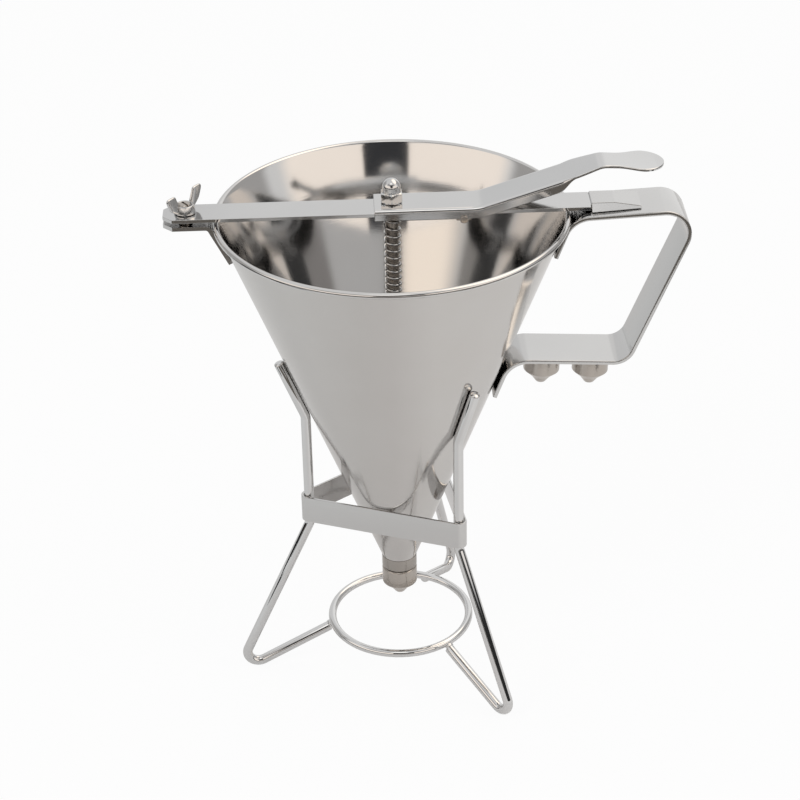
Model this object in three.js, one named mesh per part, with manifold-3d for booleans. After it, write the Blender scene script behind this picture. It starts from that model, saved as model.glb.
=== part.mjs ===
// Dispensing funnel on a wire stand. Millimetres, +Z up, floor at zero.
// The funnel's axis is the Z axis, the handle points along +X and the lever turns about a line along Y.
import * as THREE from 'three';
import { mergeVertices } from 'three/addons/utils/BufferGeometryUtils.js';
import Module from 'manifold-3d';

const wasm = await Module();
wasm.setup();

// Clearances
const gap = 0.3; // air between two pieces that touch on the real object
const overrun = 4; // how far every cutting tool runs past the face that it cuts
const weld = 0.0001; // corners closer than this are one corner

// Step counts
const roundSteps = 96;
const smallSteps = 40;
const beadSteps = 7;
const bendSteps = 6;
const wireSides = 12;
const ringSteps = 72;
const springStepsPerCurl = 8;
const springSides = 5;
const domeSteps = 6;
const padSteps = 14;
const clipSteps = 20;

// Cone
const coneBottom = 60.2;
const coneBottomRadius = 8.7;
const coneTop = 252;
const coneTopRadius = 82.5;
const coneSheet = 1.2;
const beadRadius = 1.5;
const beadOut = 1;
const beadUp = 1.5;
const beadArcStart = -2.2;
const beadArcEnd = 2.7;
const coneSlope = (coneTopRadius - coneBottomRadius) / (coneTop - coneBottom);
const coneLean = Math.hypot(1, coneSlope); // length along the wall for each unit of height
const wallRadius = (height) => coneBottomRadius + (height - coneBottom) * coneSlope;

// Outlet socket and valve seat
const socketBottom = 53.4;
const socketRadius = 8.9;
const socketChamfer = 0.6;
const spigotRadius = 7;
const spigotBottom = 46;
const seatBottom = 55.5;
const seatRadius = 3;

// Nozzles, in heights below the shoulder that they screw against
const nozzleRadius = 8.9;
const nozzleChamfer = 0.6;
const nozzleBodyLength = 9.4;
const nozzleWaistDrop = 13;
const nozzleWaistRadius = 4.9;
const nozzleLength = 16.3;
const nozzleTipRadius = 2.45;
const nozzleCavityDepth = 7.7;
const nozzleFunnelDepth = 10.6;
const nozzleBoreRadius = 1.5;
const spareLeftBoreRadius = 1;
const spareRightBoreRadius = 2;
const studDepth = 6.5;

// Handle strap, as its centre line in the XZ plane
const strapWidth = 28;
const strapSheet = 2;
const upperLegDrop = 18; // from the rim down to the end of the strap
const upperLegBottom = coneTop - upperLegDrop;
const lowerLegBottom = 159;
const upperArmReach = 7.5; // from the rim out to where the upper arm's height is given
const upperArmX = coneTopRadius + upperArmReach;
const upperArmRise = 3;
const upperArmTop = coneTop + upperArmRise;
const upperArmSlope = 0.0457;
const gripReach = 58.9; // from the rim out to the grip's outer face
const gripTopX = coneTopRadius + gripReach;
const gripTopHeight = 242.7;
const gripSlope = 0.4141;
const lowerArmTop = 179.5;
const lowerArmReach = 3.4;
const lowerArmX = wallRadius(lowerArmTop) + lowerArmReach;
const lowerArmSlope = -0.051;
const upperInnerBend = 12.5;
const upperOuterBend = 11.5;
const lowerOuterBend = 10;
const lowerInnerBend = 13;
const spareReach = 14.5;
const spareSpacing = 24;
const spareLeftX = lowerArmX + spareReach;
const spareRightX = spareLeftX + spareSpacing;

// Socket on the upper arm that holds the end of the bridge
const pocketReach = 11.5; // from the rim out to the mouth
const pocketLevel = 11;
const pocketLength = 23.5;
const pocketMouth = coneTopRadius + pocketReach;
const pocketSheet = 1;
const pocketBaseWidth = 20.8;
const pocketTopWidth = 13.6;

// Bridge bar
const barOverhang = 25.5; // from the rim out to the bar's left end
const barLeft = -coneTopRadius - barOverhang;
const barRight = pocketMouth - gap;
const barRise = 4; // from the cone's wall up to the bar, over the bead
const barBottom = coneTop + barRise;
const barSheet = 1.8;
const barWidth = 17;
const barChamfer = 4.5;
const tongueLength = 10;
const tongueWidth = 12;
const barTop = barBottom + barSheet;
const pocketTop = barTop + gap + pocketSheet;

// Bracket on the rim
const earDrop = 2; // from the bar down to the bracket
const earTop = barBottom - earDrop;
const earSheet = 2;
const earReach = 4; // from the rim out to the bend
const earBend = 2.5;

// Clamp bolt and wing nut
const boltReach = 15; // from the rim out to the bolt
const boltX = -coneTopRadius - boltReach;
const boltRadius = 3;
const boltHoleRadius = 3.4;
const boltHeadRadius = 5;
const boltHeadHeight = 1.4;
const boltRise = 4.7;
const boltTop = barTop + boltRise;
const boltChamfer = 0.5;
const boltSlotWidth = 1;
const boltSlotDepth = 1.2;
const boltSlotAngle = 0.6;
const nutBaseRadius = 5.2;
const nutCrownRadius = 4.4;
const nutBaseHeight = 4;
const wingSheet = 1.8;
const wingAngle = 0.91;
const wingRoot = 3.7;
const wingRootHeight = 0.8;
const wingBelly = 10.2;
const wingBellyHeight = 5.4;
const wingTip = 12.2;
const wingTipHeight = 9.8;
const wingCrown = 11;
const wingCrownHeight = 11.9;
const wingShoulder = 6.2;
const wingShoulderHeight = 11.4;
const wingInner = 4.4;
const wingInnerHeight = 6;

// Lever
const leverSheet = 1.2;
const leverWidth = 20.6;
const leverLeft = -8.4;
const leverRise = 2.3;
const leverWebTop = barTop + leverRise;
const leverBendX = 41;
const leverKneeX = 98.5;
const leverKneeRise = 17.4;
const leverKneeTop = leverWebTop + leverKneeRise;
const leverRight = 127.2;
const leverPadDroop = 1.9;
const leverBend = 24;
const leverKneeBend = 12;
const flangeDepth = 5.4;
const flangeEndX = 85;
const flangeCut = 9;
const neckStartX = 84;
const neckWidth = 15.5;
const padStartX = 114;
const padWidth = 20.5;
const lobeRadius = 2.2;
const lobeHoleRadius = 1.5;
const leverSlotLeft = -4.6;
const leverSlotRight = 3.5;
const leverSlotWidth = 7;

// Pivot under the bridge
const pivotX = 33.7;
const pivotRadius = 1.1;
const pivotHeight = barBottom - gap - pivotRadius;
const pivotHeadRadius = 1.8;
const pivotHeadHeight = 0.7;
const saddleLength = 7;
const saddleWidth = 15;
const saddleDepth = 3.2;

// Plunger
const rodRadius = 3;
const rodBottom = 56.8;
const rodHoleRadius = 3.4;
const nutAcross = 10;
const nutBottom = leverWebTop + gap;
const nutHexHeight = 5.2;
const nutDomeHeight = 6.4;
const nutDomeFoot = 4.75;
const nutDomeRadius = 4.45;
const nutDomeWall = 1.8;
const nutBoreRadius = 3.3;
const rodReach = 6.5; // from the foot of the nut to the rod's end
const tipRadius = 4.5;
const tipBottom = 53.5;
const tipShoulder = 60;
const tipTop = 62;
const tipNeckRadius = 4;
const tipNoseRadius = 2;
const tipBoreBottom = 56.4;

// Spring and the pieces that hold it
const springRadius = 3.85;
const springWire = 0.5;
const springCurls = 18;
const springUpperPitch = 4;
const upperSeatSheet = 1.2;
const upperSeatRadius = 4.9;
const collarDrop = 65.5; // from the bar down to the collar
const collarTop = barBottom - collarDrop;
const collarHeight = 3;
const collarRadius = 4.9;
const clipSheet = 0.8;
const clipRadius = 4.6;
const clipMouthAngle = 0.6;

// Stand
const legRadius = 2.5;
const legTop = 179.5;
const legUpperBend = 8;
const legLowerBendHeight = 85.8;
const legLowerBend = 8;
const footReach = 42.6; // from the upright part of a leg out to the corner of its foot
const footCornerHeight = -4.25;
const footBend = 6;
const ringRadius = 35.7;
const ringHeight = 22;
const ringWire = 2;
const runEndOut = 1.5; // from the ring's centre line out to the middle of a leg's end
const runEndDrop = 2.45;
const leftLegAngle = 3.28;
const rightLegAngle = 5.4;
const backLegAngle = 1.185;
const bandBottom = 87.6;
const bandTop = 102;
const bandSheet = 1.2;
const bandAir = 0.72; // between the cone and the middle of each side of the band
const bandSide = wallRadius(bandTop) + bandAir - legRadius - gap;
const legUprightRadius = bandSide / Math.cos(Math.PI / 3);
const footCornerRadius = legUprightRadius + footReach;

const steel = { colour: 0xc9c8c4, roughness: 0.22 };
const brightSteel = { colour: 0xd4d4d2, roughness: 0.12 };
const satinSteel = { colour: 0xb9b6ae, roughness: 0.34 };
const springSteel = { colour: 0xa9a9a6, roughness: 0.3 };

const flat = (x, y) => new THREE.Vector2(x, y);

// A solid for cutting and joining, from a closed three geometry.
function solid(geometry) {
  const bare = geometry.clone();
  bare.deleteAttribute('normal');
  bare.deleteAttribute('uv');
  const merged = mergeVertices(bare, weld);
  const index = Array.from(merged.index.array);
  const kept = [];
  for (let i = 0; i < index.length; i += 3) {
    const [a, b, c] = index.slice(i, i + 3);
    if (a !== b && b !== c && c !== a) kept.push(a, b, c);
  }
  return new wasm.Manifold(new wasm.Mesh({
    numProp: 3,
    vertProperties: new Float32Array(merged.attributes.position.array),
    triVerts: new Uint32Array(kept),
  }));
}

// A closed profile of radius and height pairs, turned about Z. The outer side runs upward.
function turned(profile, steps) {
  const points = profile.map(([radius, height]) => flat(radius, height));
  return solid(new THREE.LatheGeometry(points, steps).rotateX(Math.PI / 2));
}

// A round bar along Z.
function round(radius, bottom, top, steps) {
  return turned([[0, bottom], [radius, bottom], [radius, top], [0, top]], steps);
}

// An outline of X and Z pairs, as wide along Y as asked and centred on the XZ plane.
function slabAcross(outline, width) {
  const shape = new THREE.Shape(outline);
  const geometry = new THREE.ExtrudeGeometry(shape, { depth: width, bevelEnabled: false, steps: 1 });
  return solid(geometry.rotateX(Math.PI / 2).translate(0, width / 2, 0));
}

// An outline of X and Y pairs between two heights.
function slabUp(outline, bottom, top) {
  const shape = new THREE.Shape(outline);
  const geometry = new THREE.ExtrudeGeometry(shape, { depth: top - bottom, bevelEnabled: false, steps: 1 });
  return solid(geometry.translate(0, 0, bottom));
}

// The points of a line through corners, with each inner corner rounded to its radius.
function roundedPath(corners, radii) {
  const path = [corners[0]];
  radii.forEach((radius, i) => {
    const corner = corners[i + 1];
    const into = corner.clone().sub(corners[i]).normalize();
    const out = corners[i + 2].clone().sub(corner).normalize();
    const turn = Math.atan2(into.cross(out), into.dot(out));
    const side = flat(-into.y, into.x).multiplyScalar(Math.sign(turn));
    const centre = corner.clone().addScaledVector(into, -radius * Math.tan(Math.abs(turn) / 2));
    centre.addScaledVector(side, radius);
    for (let step = 0; step <= bendSteps; step += 1) {
      const arm = side.clone().multiplyScalar(-radius);
      arm.rotateAround(flat(0, 0), (turn * step) / bendSteps);
      path.push(centre.clone().add(arm));
    }
  });
  path.push(corners.at(-1));
  return path;
}

// The path moved sideways, to the left of its direction when the distance is positive.
function beside(path, distance) {
  return path.map((point, i) => {
    const first = Math.max(i - 1, 0);
    const last = Math.min(i + 1, path.length - 1);
    const before = path[Math.max(i, 1)].clone().sub(path[Math.max(i, 1) - 1]).normalize();
    const after = path[last].clone().sub(path[last === i ? first : i]).normalize();
    const along = before.clone().add(after).normalize();
    const reach = distance / along.dot(after);
    return flat(point.x - along.y * reach, point.y + along.x * reach);
  });
}

// A bent strip of even thickness, seen from its edge.
function strip(path, sheet) {
  return beside(path, -sheet / 2).concat(beside(path, sheet / 2).reverse());
}

// Where two lines cross, each given as a point and a direction.
function crossing(start, direction, other, otherDirection) {
  const apart = other.clone().sub(start);
  const share = apart.cross(otherDirection) / direction.cross(otherDirection);
  return start.clone().addScaledVector(direction, share);
}

// A curve through given points, so that a tube has its rings at just those points.
class Wire extends THREE.Curve {
  constructor(points) {
    super();
    this.points = points;
  }

  getPoint(share) {
    const place = share * (this.points.length - 1);
    const i = Math.min(Math.floor(place + weld), this.points.length - 2);
    return this.points[i].clone().lerp(this.points[i + 1], place - i);
  }

  getPointAt(share) {
    return this.getPoint(share);
  }

  getTangentAt(share) {
    const last = this.points.length - 1;
    const i = Math.round(share * last);
    const before = this.points[Math.max(i, 1)].clone().sub(this.points[Math.max(i, 1) - 1]).normalize();
    const next = this.points[Math.min(i + 1, last)].clone();
    const after = next.sub(this.points[Math.min(i, last - 1)]).normalize();
    return before.add(after).normalize();
  }
}

// A round wire through the points of a path in the XZ plane.
function wireAlong(path, radius) {
  const points = path.map((point) => new THREE.Vector3(point.x, 0, point.y));
  const section = Array.from({ length: wireSides }, (_, i) => {
    const angle = ((i + 1 / 2) / wireSides) * 2 * Math.PI;
    return flat(radius * Math.cos(angle), radius * Math.sin(angle));
  });
  const options = { steps: points.length - 1, extrudePath: new Wire(points), bevelEnabled: false };
  return solid(new THREE.ExtrudeGeometry(new THREE.Shape(section), options));
}

const group = new THREE.Group();
group.name = 'dispensing_funnel';

// Puts one piece into the part under its own name.
function add(name, piece, look) {
  const mesh = piece.getMesh();
  const geometry = new THREE.BufferGeometry();
  geometry.setAttribute('position', new THREE.BufferAttribute(mesh.vertProperties, 3));
  geometry.setIndex(new THREE.BufferAttribute(mesh.triVerts, 1));
  geometry.computeVertexNormals();
  const { colour, roughness } = look;
  const material = new THREE.MeshStandardMaterial({ color: colour, roughness, metalness: 1 });
  const node = new THREE.Mesh(geometry, material);
  node.name = name;
  group.add(node);
}

// The cone is one sheet, rolled outward into a bead at the top.
function cone() {
  const inner = coneSheet * coneLean;
  const middle = flat(coneTopRadius + beadOut, coneTop + beadUp);
  const bead = Array.from({ length: beadSteps + 1 }, (_, i) => {
    const angle = beadArcStart + ((beadArcEnd - beadArcStart) * i) / beadSteps;
    return [middle.x + beadRadius * Math.cos(angle), middle.y + beadRadius * Math.sin(angle)];
  });
  const start = [coneBottomRadius, coneBottom];
  return turned([start, ...bead, [coneBottomRadius - inner, coneBottom], start], roundSteps);
}

function spoutSocket() {
  const start = [seatRadius, spigotBottom];
  return turned([
    start,
    [spigotRadius, spigotBottom],
    [spigotRadius, socketBottom],
    [socketRadius - socketChamfer, socketBottom],
    [socketRadius, socketBottom + socketChamfer],
    [socketRadius, coneBottom],
    [coneBottomRadius - coneSheet * coneLean, coneBottom],
    [seatRadius, seatBottom],
    start,
  ], smallSteps);
}

// A screw-on nozzle that hangs down from height zero.
function nozzle(bore) {
  const start = [bore, -nozzleLength];
  return turned([
    start,
    [nozzleTipRadius, -nozzleLength],
    [nozzleWaistRadius, -nozzleWaistDrop],
    [nozzleRadius, -nozzleBodyLength],
    [nozzleRadius, -nozzleChamfer],
    [nozzleRadius - nozzleChamfer, 0],
    [spigotRadius + gap, 0],
    [spigotRadius + gap, -nozzleCavityDepth],
    [bore, -nozzleFunnelDepth],
    start,
  ], smallSteps);
}

// The centre line of the handle: up the cone, out over the top, down the grip, in and down the cone again.
function strapCorners() {
  const offWall = (gap + strapSheet / 2) * coneLean;
  const wallPoint = (height) => flat(wallRadius(height) + offWall, height);
  const half = strapSheet / 2;
  const wall = flat(coneSlope, 1);
  const upperArm = flat(1, upperArmSlope);
  const grip = flat(gripSlope, 1);
  const lowerArm = flat(1, lowerArmSlope);
  const upperStart = flat(upperArmX, upperArmTop - half);
  const gripStart = flat(gripTopX - half * Math.hypot(1, gripSlope), gripTopHeight);
  const lowerStart = flat(lowerArmX, lowerArmTop - half);
  return [
    wallPoint(upperLegBottom),
    crossing(wallPoint(upperLegBottom), wall, upperStart, upperArm),
    crossing(gripStart, grip, upperStart, upperArm),
    crossing(gripStart, grip, lowerStart, lowerArm),
    crossing(wallPoint(lowerLegBottom), wall, lowerStart, lowerArm),
    wallPoint(lowerLegBottom),
  ];
}

function handleStrap() {
  const bends = [upperInnerBend, upperOuterBend, lowerOuterBend, lowerInnerBend];
  return slabAcross(strip(roundedPath(strapCorners(), bends), strapSheet), strapWidth);
}

const lowerArmTilt = -Math.atan(lowerArmSlope);
const lowerArmUnder = (x) => lowerArmTop + (x - lowerArmX) * lowerArmSlope
  - strapSheet * Math.hypot(1, lowerArmSlope) - strapSheet * lowerArmSlope / 2;

// Tilts a piece with the lower arm and hangs it under the arm at the given X.
function underArm(piece, x) {
  const tilt = (lowerArmTilt * 180) / Math.PI;
  return piece.rotate([0, tilt, 0]).translate([x, 0, lowerArmUnder(x) - gap]);
}

function stud() {
  return round(spigotRadius, -studDepth, 0, smallSteps);
}

// The pocket is a bent sheet with sloping sides, open to the left where the bar's tongue goes in.
function bridgeSocket() {
  const armTop = (x) => upperArmTop + (x - upperArmX) * upperArmSlope;
  const base = (x) => armTop(x) + gap;
  const side = (sheet, mouth) => slabAcross([
    flat(mouth, base(mouth) - sheet),
    flat(pocketMouth + pocketLength, base(pocketMouth + pocketLength) - sheet),
    flat(pocketMouth + pocketLength, base(pocketMouth + pocketLength) + pocketSheet - sheet),
    flat(pocketMouth + pocketLevel, pocketTop - sheet),
    flat(mouth, pocketTop - sheet),
  ], strapWidth);
  const front = (sheet, start) => {
    const outline = [
      flat(-pocketBaseWidth / 2 + sheet, armTop(pocketMouth)),
      flat(pocketBaseWidth / 2 - sheet, armTop(pocketMouth)),
      flat(pocketTopWidth / 2 - sheet, pocketTop),
      flat(-pocketTopWidth / 2 + sheet, pocketTop),
    ];
    const depth = pocketMouth + pocketLength - start;
    const shape = new THREE.Shape(outline);
    const bar = new THREE.ExtrudeGeometry(shape, { depth, bevelEnabled: false, steps: 1 });
    return solid(bar.rotateX(Math.PI / 2).rotateZ(Math.PI / 2).translate(start, 0, 0));
  };
  const outer = side(0, pocketMouth).intersect(front(0, pocketMouth));
  const inner = side(pocketSheet, pocketMouth - overrun).intersect(front(pocketSheet, pocketMouth - overrun));
  return outer.subtract(inner);
}

// The plan of a bar whose left end has its corners cut off.
function chamferedPlan(left, right, width) {
  const half = width / 2;
  return [
    flat(left + barChamfer, -half),
    flat(right, -half),
    flat(right, half),
    flat(left + barChamfer, half),
    flat(left, half - barChamfer),
    flat(left, barChamfer - half),
  ];
}

function bridgeBar() {
  const tongue = [
    flat(0, -tongueWidth / 2),
    flat(pocketMouth + tongueLength, -tongueWidth / 2),
    flat(pocketMouth + tongueLength, tongueWidth / 2),
    flat(0, tongueWidth / 2),
  ];
  const holes = round(rodHoleRadius, barBottom - overrun, barTop + overrun, smallSteps)
    .add(round(boltHoleRadius, barBottom - overrun, barTop + overrun, smallSteps).translate([boltX, 0, 0]));
  return slabUp(chamferedPlan(barLeft, barRight, barWidth), barBottom, barTop)
    .add(slabUp(tongue, barBottom, barTop))
    .subtract(holes);
}

function earBracket() {
  const half = earSheet / 2;
  const legX = -(wallRadius(upperLegBottom) + (gap + half) * coneLean);
  const corners = [
    flat(barLeft, earTop - half),
    flat(-coneTopRadius - earReach, earTop - half),
    flat(legX, upperLegBottom),
  ];
  const bent = slabAcross(strip(roundedPath(corners, [earBend]), earSheet), barWidth);
  const hole = round(boltHoleRadius, earTop - earSheet - overrun, earTop + overrun, smallSteps);
  return bent
    .intersect(slabUp(chamferedPlan(barLeft, 0, barWidth), 0, barTop))
    .subtract(hole.translate([boltX, 0, 0]));
}

function clampBolt() {
  const headTop = earTop - earSheet - gap;
  const bolt = turned([
    [0, headTop - boltHeadHeight],
    [boltHeadRadius, headTop - boltHeadHeight],
    [boltHeadRadius, headTop],
    [boltRadius, headTop],
    [boltRadius, boltTop - boltChamfer],
    [boltRadius - boltChamfer, boltTop],
    [0, boltTop],
  ], smallSteps);
  const slot = new THREE.BoxGeometry(boltSlotWidth, overrun * boltRadius, boltSlotDepth * 2);
  return bolt.subtract(solid(slot.rotateZ(boltSlotAngle).translate(0, 0, boltTop))).translate([boltX, 0, 0]);
}

function wingNut() {
  const bottom = barTop + gap;
  const bore = boltRadius + gap;
  const base = turned([
    [bore, bottom],
    [nutBaseRadius, bottom],
    [nutCrownRadius, bottom + nutBaseHeight],
    [bore, bottom + nutBaseHeight],
    [bore, bottom],
  ], smallSteps);
  const wing = [
    flat(wingRoot, bottom + wingRootHeight),
    flat(nutBaseRadius, bottom + wingRootHeight),
    flat(wingBelly, bottom + wingBellyHeight),
    flat(wingTip, bottom + wingTipHeight),
    flat(wingCrown, bottom + wingCrownHeight),
    flat(wingShoulder, bottom + wingShoulderHeight),
    flat(wingInner, bottom + wingInnerHeight),
    flat(wingRoot, bottom + nutBaseHeight),
  ];
  const one = slabAcross(wing, wingSheet);
  const other = one.rotate([0, 0, 180]);
  const turn = (wingAngle * 180) / Math.PI;
  return base.add(one).add(other).rotate([0, 0, turn]).translate([boltX, 0, 0]);
}

// The lever's top sheet, seen from the side: level over the bar, up the slope and nearly level again.
function leverPath(end) {
  const half = leverSheet / 2;
  const bend = flat(leverBendX, leverWebTop - half);
  const knee = flat(leverKneeX, leverKneeTop - half);
  const start = flat(leverLeft, leverWebTop - half);
  if (end === undefined) {
    const last = flat(leverRight, leverKneeTop - leverPadDroop - half);
    return roundedPath([start, bend, knee, last], [leverBend, leverKneeBend]);
  }
  const share = (end - leverBendX) / (leverKneeX - leverBendX);
  return roundedPath([start, bend, bend.clone().lerp(knee, share)], [leverBend]);
}

function leverPlan() {
  const half = leverWidth / 2;
  const neck = neckWidth / 2;
  const pad = padWidth / 2;
  const padCentre = leverRight - pad;
  const plan = new THREE.Shape();
  const easeIn = (leverKneeX - neckStartX) / 2;
  const easeOut = (padStartX - leverKneeX) / 2;
  plan.moveTo(leverLeft, -half);
  plan.lineTo(neckStartX, -half);
  plan.bezierCurveTo(neckStartX + easeIn, -half, leverKneeX - easeIn, -neck, leverKneeX, -neck);
  plan.bezierCurveTo(leverKneeX + easeOut, -neck, padStartX - easeOut, -pad, padStartX, -pad);
  plan.absarc(padCentre, 0, pad, -Math.PI / 2, Math.PI / 2, false);
  plan.lineTo(padStartX, pad);
  plan.bezierCurveTo(padStartX - easeOut, pad, leverKneeX + easeOut, neck, leverKneeX, neck);
  plan.bezierCurveTo(leverKneeX - easeIn, neck, neckStartX + easeIn, half, neckStartX, half);
  plan.lineTo(leverLeft, half);
  return plan.getPoints(padSteps);
}

// One side of the channel, with a curved end and a lobe for the pivot pin.
function leverFlange() {
  const path = leverPath(flangeEndX);
  const shorter = leverPath(flangeEndX - flangeCut);
  const top = beside(path, 0);
  const under = beside(shorter, leverSheet / 2 - flangeDepth);
  const cut = new THREE.QuadraticBezierCurve(
    under.at(-1),
    beside(path, leverSheet / 2 - flangeDepth).at(-1).lerp(top.at(-1), 1 / 2),
    beside(path, -leverSheet / 2).at(-1),
  ).getPoints(bendSteps);
  const sheet = slabAcross([...under, ...cut.slice(1), ...top.reverse()], leverSheet);
  const lobe = slabAcross([
    flat(pivotX - lobeRadius, pivotHeight),
    flat(pivotX + lobeRadius, pivotHeight),
    flat(pivotX + lobeRadius, leverWebTop - leverSheet),
    flat(pivotX - lobeRadius, leverWebTop - leverSheet),
  ], leverSheet).add(acrossAt(lobeRadius, leverSheet));
  return sheet.add(lobe).subtract(acrossAt(lobeHoleRadius, leverSheet + overrun));
}

// A round bar along Y, centred on the pivot.
function acrossAt(radius, width) {
  return round(radius, -width / 2, width / 2, smallSteps)
    .rotate([90, 0, 0])
    .translate([pivotX, 0, pivotHeight]);
}

function lever() {
  const slotWidth = leverSlotWidth / 2;
  const slot = slabUp([
    flat(leverSlotLeft, -slotWidth),
    flat(leverSlotRight, -slotWidth),
    flat(leverSlotRight, slotWidth),
    flat(leverSlotLeft, slotWidth),
  ], leverWebTop - leverSheet - overrun, leverWebTop + overrun);
  const web = slabAcross(strip(leverPath(), leverSheet), padWidth + overrun);
  const side = (leverWidth - leverSheet) / 2;
  return web
    .intersect(slabUp(leverPlan(), barBottom, leverKneeTop + overrun))
    .add(leverFlange().translate([0, side, 0]))
    .add(leverFlange().translate([0, -side, 0]))
    .subtract(slot);
}

// The pin turns with the lever and has a low head outside each side of the channel.
function pivotPin() {
  const reach = leverWidth + 2 * gap;
  const head = acrossAt(pivotHeadRadius, pivotHeadHeight);
  return acrossAt(pivotRadius, reach)
    .add(head.translate([0, (reach + pivotHeadHeight) / 2, 0]))
    .add(head.translate([0, -(reach + pivotHeadHeight) / 2, 0]));
}

// A block under the bar with a groove, in which the pin lies.
function pivotSaddle() {
  const top = barBottom - gap;
  const half = saddleLength / 2;
  const block = slabAcross([
    flat(pivotX - half, top - saddleDepth),
    flat(pivotX + half, top - saddleDepth),
    flat(pivotX + half, top),
    flat(pivotX - half, top),
  ], saddleWidth);
  const groove = pivotRadius + gap;
  const opening = slabAcross([
    flat(pivotX - groove, pivotHeight),
    flat(pivotX + groove, pivotHeight),
    flat(pivotX + groove, top + overrun),
    flat(pivotX - groove, top + overrun),
  ], saddleWidth + overrun);
  return block.subtract(opening).subtract(acrossAt(groove, saddleWidth + overrun));
}

function acornNut() {
  const hexTop = nutBottom + nutHexHeight;
  const hex = round(nutAcross / 2 / Math.cos(Math.PI / 6), nutBottom, hexTop, 6);
  const dome = Array.from({ length: domeSteps + 1 }, (_, i) => {
    const angle = (Math.PI / 2) * (i / domeSteps);
    const rise = (nutDomeHeight - nutDomeWall) * Math.sin(angle);
    return [i === domeSteps ? 0 : nutDomeRadius * Math.cos(angle), hexTop + nutDomeWall + rise];
  });
  const cap = turned([[0, nutBottom], [nutDomeFoot, nutBottom], [nutDomeFoot, hexTop], ...dome], smallSteps);
  const bore = round(nutBoreRadius, nutBottom - overrun, nutBottom + rodReach + gap, smallSteps);
  return hex.add(cap).subtract(bore);
}

// The plug that closes the outlet, screwed on the end of the rod.
function valveTip() {
  const seatSlope = (coneBottomRadius - coneSheet * coneLean - seatRadius) / (coneBottom - seatBottom);
  const clear = gap * Math.hypot(1, seatSlope);
  const faceHeight = (radius) => seatBottom + (radius + clear - seatRadius) / seatSlope;
  return turned([
    [0, tipBottom],
    [tipNoseRadius, tipBottom],
    [tipNoseRadius, faceHeight(tipNoseRadius + gap)],
    [tipRadius, faceHeight(tipRadius)],
    [tipRadius, tipShoulder],
    [tipNeckRadius, tipTop],
    [nutBoreRadius, tipTop],
    [nutBoreRadius, tipBoreBottom],
    [0, tipBoreBottom],
  ], smallSteps);
}

function springCollar() {
  const start = [nutBoreRadius, collarTop - collarHeight];
  return turned([
    start,
    [collarRadius, collarTop - collarHeight],
    [collarRadius, collarTop],
    [nutBoreRadius, collarTop],
    start,
  ], smallSteps);
}

function upperSeat() {
  const top = barBottom - gap;
  const start = [rodHoleRadius, top - upperSeatSheet];
  return turned([
    start,
    [upperSeatRadius, top - upperSeatSheet],
    [upperSeatRadius, top],
    [rodHoleRadius, top],
    start,
  ], smallSteps);
}

// An open ring that snaps round the rod under the collar.
function retainingClip() {
  const arc = (radius, i) => {
    const angle = clipMouthAngle + ((2 * Math.PI - 2 * clipMouthAngle) * i) / clipSteps;
    return flat(radius * Math.cos(angle), radius * Math.sin(angle));
  };
  const outer = Array.from({ length: clipSteps + 1 }, (_, i) => arc(clipRadius, i));
  const inner = Array.from({ length: clipSteps + 1 }, (_, i) => arc(nutBoreRadius, i));
  const top = collarTop - collarHeight - gap;
  return slabUp([...outer, ...inner.reverse()], top - clipSheet, top);
}

// The spring is one wire, wound wider at the top than at the bottom, with a short straight end at both ends.
function spring() {
  const top = barBottom - gap - upperSeatSheet - gap - springWire;
  const bottom = collarTop + gap + springWire;
  const lowerPitch = (2 * (top - bottom)) / springCurls - springUpperPitch;
  const steps = springCurls * springStepsPerCurl;
  const spine = [];
  for (let i = 0; i <= steps; i += 1) {
    const curl = i / springStepsPerCurl;
    const angle = 2 * Math.PI * curl;
    const drop = springUpperPitch * curl + ((lowerPitch - springUpperPitch) * curl * curl) / (2 * springCurls);
    spine.push(new THREE.Vector3(springRadius * Math.cos(angle), springRadius * Math.sin(angle), top - drop));
  }
  reportSpringGap(spine);
  const wind = new THREE.Vector3(0, 2 * springWire, 0);
  spine.unshift(spine[0].clone().sub(wind));
  spine.push(spine.at(-1).clone().add(wind));
  const positions = [];
  spine.forEach((point, i) => {
    const ahead = spine[Math.min(i + 1, spine.length - 1)];
    const along = ahead.clone().sub(spine[Math.max(i - 1, 0)]).normalize();
    const outward = new THREE.Vector3(point.x, point.y, 0);
    outward.addScaledVector(along, -outward.dot(along)).normalize();
    const other = along.clone().cross(outward);
    for (let k = 0; k < springSides; k += 1) {
      const angle = (2 * Math.PI * k) / springSides;
      const corner = point.clone().addScaledVector(outward, springWire * Math.cos(angle));
      corner.addScaledVector(other, springWire * Math.sin(angle));
      positions.push(corner.x, corner.y, corner.z);
    }
  });
  const index = [];
  for (let i = 0; i < spine.length - 1; i += 1) {
    for (let k = 0; k < springSides; k += 1) {
      const a = i * springSides + k;
      const b = i * springSides + ((k + 1) % springSides);
      index.push(a, b, b + springSides, a, b + springSides, a + springSides);
    }
  }
  const last = (spine.length - 1) * springSides;
  for (let k = 1; k < springSides - 1; k += 1) {
    index.push(0, k + 1, k, last, last + k, last + k + 1);
  }
  const geometry = new THREE.BufferGeometry();
  geometry.setAttribute('position', new THREE.Float32BufferAttribute(positions, 3));
  geometry.setIndex(index);
  return solid(geometry);
}

// Prints the least air between two curls of the spring.
function reportSpringGap(spine) {
  let least = Infinity;
  spine.forEach((point, i) => {
    for (let k = i + springStepsPerCurl / 2; k < spine.length; k += 1) {
      least = Math.min(least, point.distanceTo(spine[k]) - 2 * springWire);
    }
  });
  console.log(`spring: least gap to itself ${least.toFixed(2)} mm`);
}

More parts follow.
